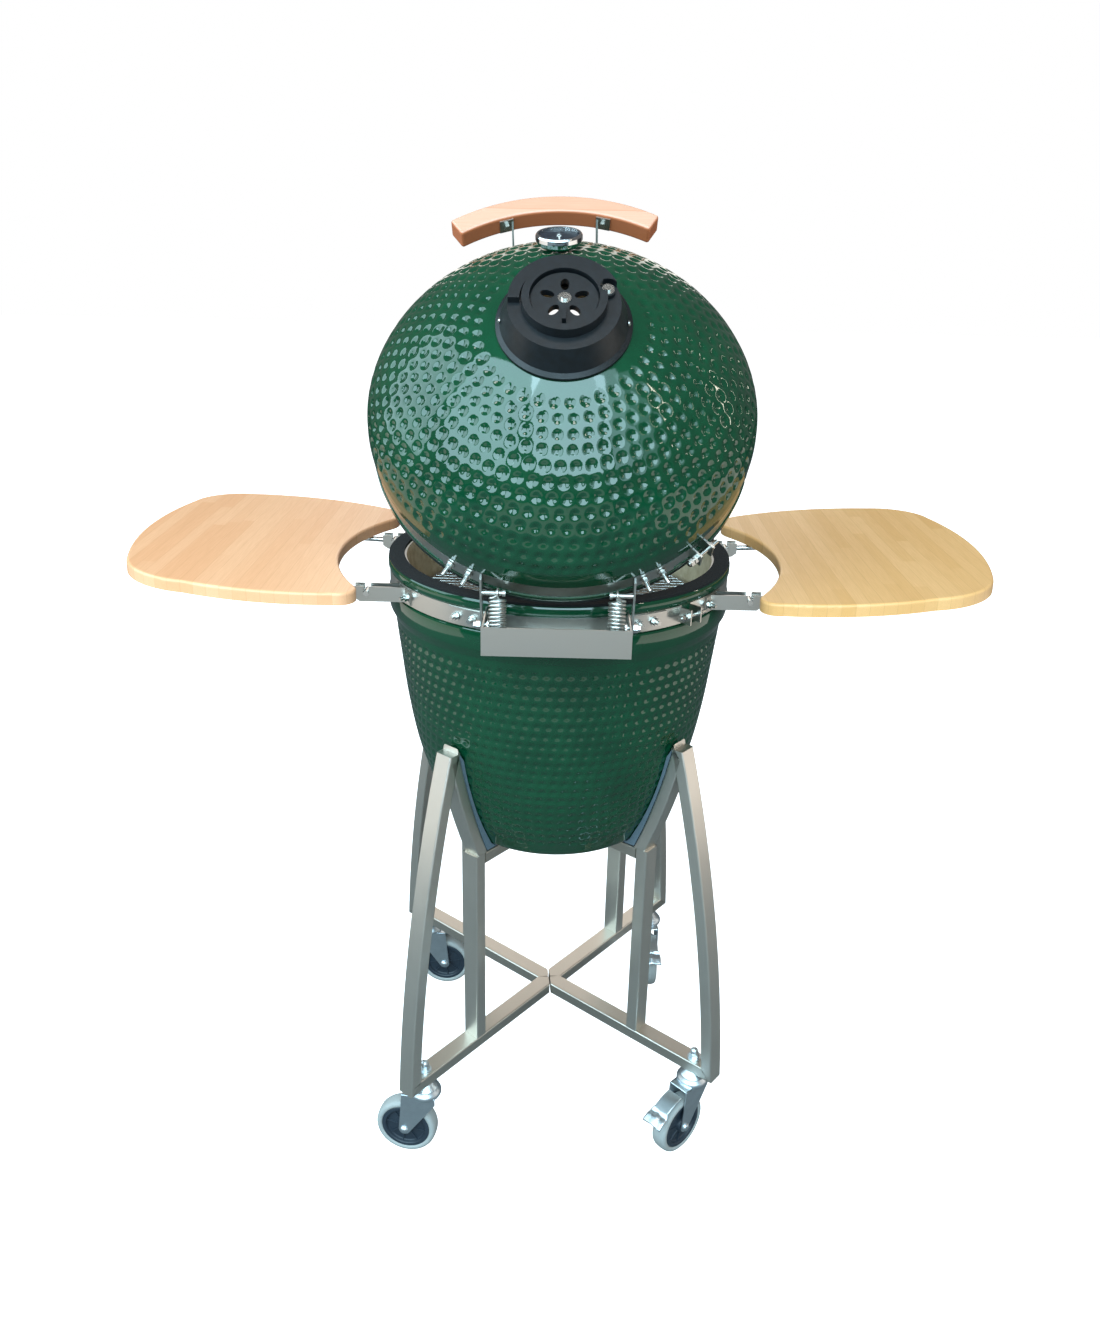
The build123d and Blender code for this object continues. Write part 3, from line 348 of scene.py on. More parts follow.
def makePlain(name, colour, roughness, metallic=0.0, grain=2.0, depth=0.05, shade="#000000", amount=0.25):
    # a plain finish with slight unevenness of tone, gloss and surface
    made, tree, shader = newMaterial(name, colour, roughness, metallic)
    points = addNode(tree, "ShaderNodeTexCoord", "Object")
    cloud = addNode(tree, "ShaderNodeTexNoise", links={"Vector": points, "Scale": 1 / (8 * grain * mm), "Detail": 4})
    height = addNode(tree, "ShaderNodeTexNoise", links={"Vector": points, "Scale": 1 / (grain * mm), "Detail": 3})
    share = addNode(tree, "ShaderNodeMapRange", links={"Value": cloud, "To Max": amount})
    clean, dull = (*linear(colour), 1), (*linear(shade), 1)
    tone = addNode(tree, "ShaderNodeMix", 2, {0: share, 6: clean, 7: dull}, data_type="RGBA")
    spread = {"Value": cloud, "To Min": roughness * 0.8, "To Max": roughness * 1.25}
    gloss = addNode(tree, "ShaderNodeMapRange", links=spread)
    bump = addNode(tree, "ShaderNodeBump", "Normal", {"Height": height, "Distance": depth * mm, "Strength": 0.6})
    tree.links.new(tone, shader.inputs["Base Color"])
    tree.links.new(gloss, shader.inputs["Roughness"])
    tree.links.new(bump, shader.inputs["Normal"])
    return made


glaze = makeGlaze()
# unglazed fired cordierite: matte cream with fine grog specks
clay = makeMatte("firedClayCream", "#cfc2a6", 0.85, 12, 6, ((0.3, "#b8a888"), (0.65, "#cfc2a6")), 1.5, 3, 0.4)
# black wool felt: no shine, short tangled fibres
felt = makeMatte("woolFeltBlack", "#08090a", 0.95, 2, 4, ((0.3, "#050506"), (0.75, "#131416")), 1.2, 4, 0.8, 1.5)
steelSheet = makeSteel("brushedStainlessSheet", "#c0bfba", 0.30, (0.05, 0.05, 1))
steelTube = makeSteel("brushedStainlessTube", "#e4dfd6", 0.36, (1, 1, 0.04))
steelBar = makeSteel("brushedStainlessBar", "#cfc9bf", 0.36, (0.3, 0.3, 1))
boltSteel = makePlain("turnedStainless", "#cfcfcb", 0.22, 1.0, 1.0, 0.03, "#8d8a84")
springWire = makePlain("drawnSpringSteel", "#dddcd7", 0.28, 1.0, 1.0, 0.03, "#a5a29c")
rodSteel = makePlain("platedRod", "#c9c9c6", 0.2, 1.0, 1.5, 0.03, "#8f8c86")
bambooLeft = makeBamboo("laminatedBambooRose", "#fabc8f", "#f0ab7b", "#c98254")
bambooRight = makeBamboo("laminatedBambooGold", "#f3bc80", "#e2a765", "#b77e40")
# the handle's last colour is painted shade, laid on the sides of the handle
bambooHandle = makeBamboo("laminatedBambooHandle", "#e7ac93", "#d99a7e", "#b5734f", 30, "X", "Z", "#b86236")
castIron = makeCastIron()
chrome = makePlain("polishedChrome", "#dcdcdc", 0.06, 1.0, 3.0, 0.005, "#c8c8c8")
zinc = makePlain("brightZincPlate", "#e2ecf2", 0.34, 1.0, 2.0, 0.05, "#8c969e", 0.5)
hubPlastic = makePlain("mouldedNavyPlastic", "#27313b", 0.40, 0.0, 1.0, 0.05, "#151b22")
greyRubber = makePlain("greyRubber", "#a3a6a4", 0.62, 0.0, 1.2, 0.08, "#7d807f", 0.4)
wovenPad = makePlain("wovenStrip", "#5c6b75", 0.9, 0.0, 1.0, 0.5, "#39444c", 0.5)
blackIron = makePlain("bareCastIron", "#26282a", 0.7, 0.0, 1.6, 0.4, "#121314", 0.5)
needlePaint = makePlain("needleEnamel", "#e8e8e4", 0.4)
dialPrint = makePlain("printedDial", "#15202c", 0.5)
# flat clear glass: almost unseen but for a faint sheen
glass, glassTree, glassShader = newMaterial("clearGlass", "#ffffff", 0.04, IOR=1.45)
glassShader.inputs["Transmission Weight"].default_value = 1.0
glassShader.inputs["Alpha"].default_value = 0.12

wear(["base_gasket", "lid_gasket"], felt)
wear(["fire_bowl", "fire_ring"], clay)
wear(["base_band", "lid_band", "hinge_box", "hinge_arms", "shelf_brackets", "draft_frame", "draft_door",
      "draft_screen", "handle_brackets"], steelSheet)
wear(["outer_legs", "cradle_struts", "inner_posts"], steelTube)
wear(["lower_bars", "upper_bars"], steelBar)
wear(["base_band_bolts", "lid_band_bolts", "hinge_pins", "shelf_bracket_bolts", "handle_bolts", "daisy_screw",
      "vent_pivot_screw"], boltSteel)
wear(["lid_springs"], springWire)
wear(["shelf_rails_left", "shelf_rails_right", "cooking_grid"], rodSteel)
wear(["shelf_left"], bambooLeft)
wear(["shelf_right"], bambooRight)
wear(["lid_handle"], bambooHandle)
wear(["vent_housing", "vent_disc", "daisy_wheel"], castIron)
wear(["thermometer_case"], chrome)
wear(["thermometer_dial"], dialPrint)
wear(["thermometer_needle"], needlePaint)
wear(["thermometer_lens"], glass)
wear(["cradle_pads"], wovenPad)
wear(["charcoal_grate"], blackIron)
corners = ("near_left", "near_right", "far_right", "far_left")
wear(["caster_stems", "brake_pedal_near_right", "brake_pedal_far_right"], zinc)
wear([f"caster_fork_{c}" for c in corners], zinc)
wear([f"caster_hub_{c}" for c in corners], hubPlastic)
wear([f"caster_tyre_{c}" for c in corners], greyRubber)
print("materials made")


def dimpleDepth(lengths, radii, angles, first, last, spec):
    # rows of round pits stepped along the wall, each row with as many as fit at this pitch, every
    # second row shifted by half a pit; depth falls off as (1 - r^2)^1.5 towards the pit's edge
    pitch, reach, depth = spec["pitch"], spec["reach"], spec["depth"]
    row = np.floor((lengths - first) / pitch)
    inside = (lengths >= first) & (row < np.floor((last - first) / pitch))
    rowLength = first + (row + 0.5) * pitch
    rowRadius = np.interp(rowLength, lengths, radii)
    count = np.maximum(1, np.round(2 * np.pi * rowRadius / pitch))
    turnsAround = angles[None, :] / (2 * np.pi) * count[:, None] + (row[:, None] % 2) * 0.5
    acrossPit = (turnsAround - np.round(turnsAround)) * (2 * np.pi * rowRadius / count)[:, None]
    alongPit = (lengths - rowLength)[:, None]
    squared = (acrossPit ** 2 + alongPit ** 2) / reach ** 2
    return np.where(inside[:, None], depth * np.clip(1 - squared, 0, 1) ** 1.5, 0)


def ceramicShell(name, outer, rest, start, end, place, spec, body, replaces):
    # the profile turned about Z: x = r cos a, y = r sin a; outer is the dimpled wall as (radius, height)
    # points, pushed in along its normal by the dimples' depth, and rest closes the section
    outer = evenly(outer, spec["rowSpacing"])
    profile = np.vstack([outer, rest])
    columns = spec["columns"]
    steps = np.linalg.norm(np.diff(outer, axis=0), axis=1)
    lengths = np.concatenate([[0], np.cumsum(steps)])
    angles = np.linspace(0, 2 * np.pi, columns, endpoint=False)
    depth = dimpleDepth(lengths, outer[:, 0], angles, start, lengths[-1] - end, spec)
    tangent = np.gradient(outer, axis=0)
    tangent /= np.linalg.norm(tangent, axis=1, keepdims=True)
    sideways = spec["side"] * np.stack([tangent[:, 1], -tangent[:, 0]], -1)
    radius = np.repeat(profile[:, :1], columns, 1)
    height = np.repeat(profile[:, 1:], columns, 1)
    radius[:len(outer)] -= sideways[:, :1] * depth
    height[:len(outer)] -= sideways[:, 1:] * depth
    points = np.stack([radius * np.cos(angles), radius * np.sin(angles), height], -1)
    pit = np.zeros(radius.shape)
    pit[:len(outer)] = depth / spec["depth"]
    clayRows = (len(outer) + 1, len(profile) - 10, clay)
    piece = gridPiece(name, moved(points * mm, place), glaze, body, replaces, closeU=True, closeV=True,
                      attributes={"pit": pit}, lining=clayRows)
    sharpen(piece, 40)


lidGlaze = {"pitch": 18.6, "reach": 7.6, "depth": 2.6, "rowSpacing": 2.55, "side": 1, "columns": 600}
domeShape = {"radius": 257.0, "springLine": 67.0, "crown": 233.0, "p": 1.51, "q": 1.9, "capRadius": 80.0}


def domeOutline():
    # r = R (1 - k^p)^(1/q), k the height from the spring line to the crown as a fraction
    k = np.linspace(0, 1, 600) ** 0.8
    radius = domeShape["radius"] * np.clip(1 - k ** domeShape["p"], 0, 1) ** (1 / domeShape["q"])
    height = domeShape["springLine"] + k * (domeShape["crown"] - domeShape["springLine"])
    keep = radius >= domeShape["capRadius"]
    return np.stack([radius[keep], height[keep]], -1)


def bezierLine(points, spacing):
    # a smooth line through a few points: a Catmull-Rom curve sampled at even length
    p = np.asarray(points, float)
    p = np.vstack([2 * p[0] - p[1], p, 2 * p[-1] - p[-2]])
    t = np.linspace(0, 1, 24, endpoint=False)[:, None]
    runs = [0.5 * (2 * b + (c - a) * t + (2 * a - 5 * b + 4 * c - d) * t ** 2 + (3 * b - a - 3 * c + d) * t ** 3)
            for a, b, c, d in zip(p[:-3], p[1:-2], p[2:-1], p[3:])]
    return evenly(np.vstack(runs + [p[-2:-1]]), spacing)


lidOuter = np.vstack([[(258.0, 40.6), (258.2, 56.0)], domeOutline()])
lidInner = bezierLine([(54, 202), (110, 186), (170, 152), (215, 102), (235, 50), (235.5, 8)], 14)
lidRest = np.vstack([[(79.0, 221.0), (54.4, 221.0), (54, 220.6)], lidInner,
                     [(238, 0.4), (240, 0), (254, 0), (257, 1), (258, 4), (258, 11), (257, 12), (254.7, 12.2),
                      (254.6, 39.8), (257, 40)]])
ceramicShell("lidShell", lidOuter, lidRest, 30, 2, lidPlace, lidGlaze, "lid", ("lid_shell",))

baseGlaze = {"pitch": 16.4, "reach": 6.6, "depth": 2.4, "rowSpacing": 2.6, "side": -1, "columns": 456}
baseOuter = bezierLine([(250.2, 869), (243.5, 810), (234, 732), (219, 655), (193.5, 578), (171, 532)], 1.0)
baseInner = bezierLine([(230, 955), (221, 840), (208, 740), (168, 590), (140, 545)], 14)
baseUpper = [(250.4, 870.5), (251.5, 873), (257, 884), (258, 887), (258, 911), (257, 913.6), (254.7, 914),
             (254.6, 943.8), (257, 944.2), (258, 946), (258, 955), (256.5, 957.4), (254, 958), (234, 958), (231, 957)]
baseLower = bezierLine([(171, 532), (166, 524), (160, 520), (148, 517.2)], 3)[1:]
baseRest = np.vstack([baseLower, [(140, 517), (70, 517), (1, 517)]])
baseTop = np.vstack([baseUpper, baseInner, [(100, 543.5), (50, 543.5), (1, 543.5)]])[::-1]


draftDoor = {"place": (0, -196, 590), "lean": 19, "recess": (75.5, 46.5), "hole": (61.5, 30.5),
             "reach": 80}


def baseShellPiece():
    # the wall runs from the middle of the floor inside, over the rim, down the outside to the foot
    outer = evenly(baseOuter, baseGlaze["rowSpacing"])
    lengths = np.concatenate([[0], np.cumsum(np.linalg.norm(np.diff(outer, axis=0), axis=1))])
    columns = baseGlaze["columns"]
    angles = np.linspace(0, 2 * np.pi, columns, endpoint=False)
    depth = dimpleDepth(lengths, outer[:, 0], angles, 6, lengths[-1] - 2, baseGlaze)
    tangent = np.gradient(outer, axis=0)
    tangent /= np.linalg.norm(tangent, axis=1, keepdims=True)
    outward = np.stack([-tangent[:, 1], tangent[:, 0]], -1)
    profile = np.vstack([baseTop, outer, baseRest])
    first = len(baseTop)
    radius = np.repeat(profile[:, :1], columns, 1)
    height = np.repeat(profile[:, 1:], columns, 1)
    radius[first:first + len(outer)] -= outward[:, :1] * depth
    height[first:first + len(outer)] -= outward[:, 1:] * depth
    pit = np.zeros(radius.shape)
    pit[first:first + len(outer)] = depth / baseGlaze["depth"]
    points = np.stack([radius * np.cos(angles), radius * np.sin(angles), height], -1)[::-1]
    # the draft door lies in a flat recess: places outside its plane are pressed back onto it
    apart = points - draftDoor["place"]
    lean = np.radians(draftDoor["lean"])
    outwards = np.array([0, -np.cos(lean), -np.sin(lean)])
    upwards = np.array([0, -np.sin(lean), np.cos(lean)])
    high, out = np.abs(apart @ upwards), apart @ outwards
    near = (np.abs(apart[..., 0]) < draftDoor["recess"][0]) & (high < draftDoor["recess"][1])
    near &= out > -draftDoor["reach"]
    points = points - (near & (out > 0))[..., None] * out[..., None] * outwards
    opened = near & (np.abs(apart[..., 0]) < draftDoor["hole"][0]) & (high < draftDoor["hole"][1])
    pit = np.where(near[::-1], 0, pit)
    rows = len(points)
    piece = gridPiece("baseShell", points * mm, glaze, "grill", ("base_shell",), closeV=True, poles=(0, -1),
                      attributes={"pit": pit[::-1]}, lining=(rows - first + 14, rows - 1, clay), opened=opened)
    sharpen(piece, 40)


baseShellPiece()
print("ceramic made")


def swept(path, across, section, tangents=None):
    # a section of (sideways, upward) offsets carried along a path: place = path + s * side + t * top,
    # side is the fixed direction across the path's plane, top = side x tangent
    path = np.asarray(path, float)
    if tangents is None:
        tangents = np.gradient(path, axis=0)
    tangents = tangents / np.linalg.norm(tangents, axis=1, keepdims=True)
    sides = np.asarray(across, float) + 0 * path
    sides = sides - (sides * tangents).sum(1, keepdims=True) * tangents
    sides /= np.linalg.norm(sides, axis=1, keepdims=True)
    tops = np.cross(tangents, sides)
    section = np.asarray(section, float)
    return path[:, None] + section[None, :, :1] * sides[:, None] + section[None, :, 1:] * tops[:, None], tangents


def roundedBox(width, depth, radius, steps=4):
    # outline of a rounded rectangle: each corner is an arc with a point just before and after it,
    # so that the flats shade flat, and the long sides have a point in their middle
    turn = np.linspace(0, np.pi / 2, steps)
    points = []
    for quarter, (sx, sy) in enumerate(((1, 1), (-1, 1), (-1, -1), (1, -1))):
        angles = turn + quarter * np.pi / 2
        middle = np.array([sx * (width / 2 - radius), sy * (depth / 2 - radius)])
        arc = middle + radius * np.stack([np.cos(angles), np.sin(angles)], -1)
        along = np.stack([[np.sin(angles[0]), -np.cos(angles[0])], [-np.sin(angles[-1]), np.cos(angles[-1])]])
        points += [arc[0] + 0.4 * along[0], *arc, arc[-1] + 0.4 * along[1]]
        if quarter in (0, 2):
            points.append(np.array([0.0, sy * depth / 2]))
    return np.array(points)


def circle(radius, steps=14):
    # (r cos a, r sin a) all the way round
    angles = np.linspace(0, 2 * np.pi, steps, endpoint=False)
    return np.stack([radius * np.cos(angles), radius * np.sin(angles)], -1)


def trimmed(grid, tangents, end, cuts):
    # one end of a swept tube carried along its tangent to the furthest of some cutting planes
    direction = tangents[end] if end == -1 else -tangents[0]
    reaches = [((point - grid[end]) @ normal) / (direction @ normal) for point, normal in cuts]
    grid[end] += np.min(reaches, axis=0)[:, None] * direction


def gridFaces(rows, columns, closeU=False, closeV=False, poles=()):
    # corner numbers of a grid's quads, closed round where asked, with its end rows as single faces
    index = np.arange(rows * columns).reshape(rows, columns)
    if closeU:
        index = np.vstack([index, index[:1]])
    if closeV:
        index = np.hstack([index, index[:, :1]])
    quads = np.stack([index[:-1, :-1], index[:-1, 1:], index[1:, 1:], index[1:, :-1]], -1).reshape(-1, 4).tolist()
    if 0 in poles:
        quads.append(index[0, :columns].tolist())
    if -1 in poles:
        quads.append(index[-1, :columns][::-1].tolist())
    return quads


def joined(name, parts, material, body, replaces=(), angle=35):
    # several grids in one mesh; each part is (points, how it closes)
    places, faces, start = [], [], 0
    for points, closing in parts:
        faces += [[start + corner for corner in face] for face in gridFaces(*points.shape[:2], **closing)]
        places.append(points.reshape(-1, 3))
        start += len(places[-1])
    mesh = bpy.data.meshes.new(name)
    mesh.from_pydata(np.vstack(places).tolist(), [], faces)
    mesh.materials.append(material)
    return placed(name, mesh, body, replaces, angle)


tube = {"closeV": True, "poles": (0, -1)}
spring = {"x": 76.0, "foot": (316.0, 921.0), "stud": (294.1, 988.0), "radius": 10.0, "wire": 1.8,
          "coils": 13.0, "perCoil": 26, "coilTop": 981.5, "hook": 5.4}


def lidSprings():
    # helix: place = foot + t * up + r (cos, sin) of the turn, then a hook that rises over the stud
    foot, stud = np.array(spring["foot"]), np.array(spring["stud"])
    lean = (stud - foot) / np.linalg.norm(stud - foot)
    aside = np.array([lean[1], -lean[0]])
    coilLength = (spring["coilTop"] - foot[1]) / lean[1]
    t = np.linspace(0, 1, int(spring["coils"] * spring["perCoil"]))
    turn = t * spring["coils"] * 2 * np.pi
    parts = []
    for sign in (-1, 1):
        middle = foot + (t * coilLength)[:, None] * lean
        ring = spring["radius"] * np.sin(turn)
        coil = np.stack([sign * (spring["x"] + spring["radius"] * np.cos(turn)), middle[:, 0] + aside[0] * ring,
                         middle[:, 1] + aside[1] * ring], -1)
        top = coil[-1]
        over = np.array([sign * spring["x"], stud[0], stud[1]])
        loop = np.linspace(-0.6, 1.35, 22) * np.pi
        hook = over + spring["hook"] * np.stack([0 * loop, np.cos(loop + np.pi / 2), np.sin(loop + np.pi / 2)], -1)
        bend = bezierLine([top, (top + hook[0]) / 2 + np.array([0, 0, -1.0]), hook[0]], 1.5)[1:-1]
        path = np.vstack([coil, bend, hook])
        tangents = np.gradient(path, axis=0)
        grid, tangents = swept(path, np.array([0.35, *lean]), circle(spring["wire"], 10), tangents)
        parts.append((grid * mm, tube))
    piece = joined("lidSpringWire", parts, springWire, None, ("lid_springs",), 80)
    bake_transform(piece)


lidSprings()

gridRods = {"radius": 219.0, "height": 887.3, "rod": 2.6, "pitch": 13.5, "rows": 15, "hoop": 3.2,
            "cross": (-88, 88), "crossRod": 2.2}


def cookingGrid():
    # straight round rods across a hoop: each reaches x = sqrt(R^2 - y^2)
    rows = np.arange(-gridRods["rows"], gridRods["rows"] + 1) * gridRods["pitch"]
    ring = gridRods["radius"] - gridRods["hoop"]
    angles = np.linspace(0, 2 * np.pi, 180, endpoint=False)
    hoop = np.stack([ring * np.cos(angles), ring * np.sin(angles), 0 * angles + gridRods["height"]], -1)
    tangents = np.stack([-np.sin(angles), np.cos(angles), 0 * angles], -1)
    ringTube = swept(hoop, (0, 0, 1), circle(gridRods["hoop"], 12), tangents)[0]
    parts = [(ringTube * mm, {"closeU": True, "closeV": True})]
    for y in rows:
        half = np.sqrt(ring ** 2 - y ** 2)
        line = np.array([(-half, y, gridRods["height"] + 0.8), (half, y, gridRods["height"] + 0.8)])
        parts.append((swept(line, (0, 0, 1), circle(gridRods["rod"], 10))[0] * mm, tube))
    for x in gridRods["cross"]:
        half = np.sqrt(ring ** 2 - x ** 2)
        line = np.array([(x, -half, gridRods["height"] - 1.0), (x, half, gridRods["height"] - 1.0)])
        parts.append((swept(line, (0, 0, 1), circle(gridRods["crossRod"], 10))[0] * mm, tube))
    return joined("cookingGrid", parts, rodSteel, "grill", ("cooking_grid",), 60)


cookingGrid()

# the stand: every tube lies in one of four upright corner planes, drawn there as (outwards, up)
stand = {"turn": 6.0, "corners": (45, 135, 225, 315), "wide": 29.9, "deep": 20.0, "round": 2.4, "seam": 2.4,
         "touch": 0.05, "foot": (352.0, 144.0), "head": (254.0, 706.0), "bow": 16.0}


def arcThrough(a, b, c, count):
    # the circle through three points, sampled from the first to the last at even angle
    (ax, ay), (bx, by), (cx, cy) = a, b, c
    a2, b2, c2 = ax * ax + ay * ay, bx * bx + by * by, cx * cx + cy * cy
    d = 2 * (ax * (by - cy) + bx * (cy - ay) + cx * (ay - by))
    ux = (a2 * (by - cy) + b2 * (cy - ay) + c2 * (ay - by)) / d
    uy = (a2 * (cx - bx) + b2 * (ax - cx) + c2 * (bx - ax)) / d
    start, end = np.arctan2(ay - uy, ax - ux), np.arctan2(cy - uy, cx - ux)
    sweep = (end - start + np.pi) % (2 * np.pi) - np.pi
    angles = start + sweep * np.linspace(0, 1, count)
    radius = np.hypot(ax - ux, ay - uy)
    return np.array([ux, uy]), radius, angles


def arcPath(a, b, c, count, inward):
    # the same arc moved towards its centre by a distance, as half a tube's depth
    centre, radius, angles = arcThrough(a, b, c, count)
    return centre + (radius - inward) * np.stack([np.cos(angles), np.sin(angles)], -1)


def inCorner(points, corner):
    # (outwards, up) in a corner plane to the row's own axes
    turn = np.radians(corner + stand["turn"])
    outwards, up = points[..., :1], points[..., 1:2]
    return np.concatenate([outwards * np.cos(turn), outwards * np.sin(turn), up], -1)


def standTube(name, flatPath, ends, replaces, material, width=stand["wide"], depth=stand["deep"]):
    # ends gives, for the first and last section, the cutting planes as flat (point, normal) pairs
    parts = []
    section = roundedBox(width, depth, stand["round"])
    for corner in stand["corners"]:
        turn = np.radians(corner + stand["turn"])
        outwards = np.array([np.cos(turn), np.sin(turn), 0])
        across = np.array([-np.sin(turn), np.cos(turn), 0])
        grid, tangents = swept(inCorner(np.asarray(flatPath, float), corner), across, section)
        for end, planes in zip((0, -1), ends):
            cuts = [(inCorner(np.array(point, float), corner), normal[0] * outwards + np.array([0, 0, normal[1]]))
                    for point, normal in planes]
            if cuts:
                trimmed(grid, tangents, end, cuts)
        if name in ("lowerBars", "upperBars"):
            # at the middle each bar ends in a point between its neighbours, a seam apart on one side
            lean = np.radians(stand["turn"])
            seams = ((np.array([np.cos(lean), np.sin(lean), 0]), stand["seam"] / 2),
                     (np.array([-np.sin(lean), np.cos(lean), 0]), stand["touch"]))
            outBy = grid[0] @ outwards
            beside = grid[0] - outBy[:, None] * outwards
            reach = np.zeros(len(section))
            for normal, gap in seams:
                facing = outwards @ normal
                reach = np.maximum(reach, (gap - np.sign(facing) * (beside @ normal)) / abs(facing))
            grid[0] += (reach - outBy)[:, None] * outwards
        parts.append((grid * mm, tube))
    return joined(name, parts, material, "grill", replaces, 30)


def makeStand():
    # outer legs bow out between foot and head, struts follow the bowl, posts and bars run straight
    foot, head = stand["foot"], stand["head"]
    middle = ((foot[0] + head[0]) / 2 + stand["bow"], (foot[1] + head[1]) / 2)
    legPath = arcPath(foot, middle, head, 36, stand["deep"] / 2)
    legEnds = ([((foot[0], foot[1]), (1, 1))], [((0, head[1]), (0, 1))])
    standTube("outerLegs", legPath, legEnds, ("outer_legs",), steelTube)
    strutPath = arcPath((236.0, 705.0), (213.5, 617.0), (177.5, 516.0), 26, -9.8)
    strutEnds = ([((240.5, 700.0), (56, 9.0))], [((0, 514.4), (0, 1))])
    standTube("cradleStruts", strutPath, strutEnds, ("cradle_struts",), steelTube, depth=19.0)
    postPath = [(192.0, 164.1), (192.0, 340.0), (192.0, 514.2)]
    standTube("innerPosts", postPath, ([], []), ("inner_posts",), steelTube, depth=21.0)
    lowerPath = [(10, 154.0), (200.0, 154.0), (330.0, 154.0)]
    lowerEnds = ([], [((foot[0] - 0.3, foot[1]), (1, 1))])
    standTube("lowerBars", lowerPath, lowerEnds, ("lower_bars",), steelBar)
    standTube("upperBars", [(10, 504.0), (100.0, 504.0), (181.0, 504.0)], ([], []), ("upper_bars",), steelBar)


makeStand()
print("stand and rods made")


# the thermometer: its printed ring and ticks lie on the dial, angles run clockwise from the lowest reading
gauge = {"place": (0, -150, 191), "tilt": 28, "turn": 3.4, "face": 12.85, "start": 215, "sweep": 250,
         "ink": 0.08}
gaugePlace = (lidPlace @ Matrix.Rotation(np.radians(gauge["turn"]), 4, "Z")
              @ Matrix.Translation(Vector(gauge["place"]) * mm) @ Matrix.Rotation(np.radians(gauge["tilt"]), 4, "X"))


def dialStrip(inner, outer, start, end):
    # a thin flat strip between two radii over part of the scale: angle = start - share of the sweep
    shares = np.linspace(start, end, max(2, int(60 * abs(end - start)) + 2))
    angles = np.radians(gauge["start"] - gauge["sweep"] * shares)
    thick = gauge["ink"]
    rows = [(inner, 0), (inner, thick), (outer, thick), (outer, 0)]
    ring = [np.stack([r * np.cos(angles), r * np.sin(angles), 0 * angles + gauge["face"] + h], -1) for r, h in rows]
    return moved(np.stack(ring, 1) * mm, gaugePlace)


def thermometerDial():
    # three coloured zones and fifty small divisions, every fifth one longer
    zones = (("Cool", "#e9e6dc", 0.0, 0.30), ("Warm", "#e3c22c", 0.30, 0.62), ("Hot", "#c43a4a", 0.62, 1.0))
    for name, colour, start, end in zones:
        ink = makePlain(f"dialInk{name}", colour, 0.5)
        joined(f"dialZone{name}", [(dialStrip(14.5, 18.5, start + 0.004, end - 0.004), tube)], ink, "lid")
    ticks = [(dialStrip(19.5 if step % 5 else 18.9, 22.5, step / 50 - 0.0016, step / 50 + 0.0016), tube)
             for step in range(51)]
    joined("dialTicks", ticks, makePlain("dialInkPale", "#dcdcd6", 0.5), "lid")


thermometerDial()
capScrews = {"places": ((79.5, 6, 234), (-79.5, 6, 234)), "lean": 64, "sunk": 3.2,
             "head": [(0.3, 0), (3.4, 0), (3.6, 0.8), (2.6, 2.2), (0.3, 2.6)]}
heads = []
for x, y, h in capScrews["places"]:
    outward = np.sign(x)
    seat = lidPlace @ Matrix.Translation(Vector((x - outward * capScrews["sunk"], y, h)) * mm)
    turn = Matrix.Rotation(outward * np.radians(capScrews["lean"]), 4, "Y")
    heads.append((moved(spun(capScrews["head"], 20) * mm, seat @ turn), tube))
joined("capScrews", heads, boltSteel, "lid")
print("thermometer made")


caster = {"trail": 32.0, "axle": 50.0, "forkTop": 122.0, "half": 18.0, "sheet": 2.5, "wheel": 50.0}
loop = {"closeU": True, "closeV": True}


def plate(outline, thickness, bevel=0.5):
    # a flat outline given thickness: four rings of it, the outer two drawn in by the bevel
    outline = np.asarray(outline, float)
    middle = outline.mean(0)
    drawnIn = outline + (middle - outline) * (bevel / np.linalg.norm(outline - middle, axis=1, keepdims=True))
    rings = [(drawnIn, 0), (outline, bevel), (outline, thickness - bevel), (drawnIn, thickness)]
    return np.stack([np.column_stack([ring, np.full(len(ring), height)]) for ring, height in rings])


def lathed(profile, columns, matrix):
    # a turned profile in millimetres, put in its place
    return moved(spun(profile, columns) * mm, matrix)


def alongY(place, x, y, z):
    # a frame whose Z runs along the caster's Y, for the wheel and its axle
    return place @ Matrix.Translation((x * mm, y * mm, z * mm)) @ Matrix.Rotation(np.pi / 2, 4, "X")


def sidePlate():
    # from under the swivel down to a round end about the axle
    trail, axle = caster["trail"], caster["axle"]
    angles = np.radians(np.linspace(8, -152, 12))
    end = [(trail + 9.5 * np.cos(a), axle + 9.5 * np.sin(a)) for a in angles]
    return [(-20, caster["forkTop"]), (trail + 3, caster["forkTop"])] + end + [(-20, caster["forkTop"] - 13)]


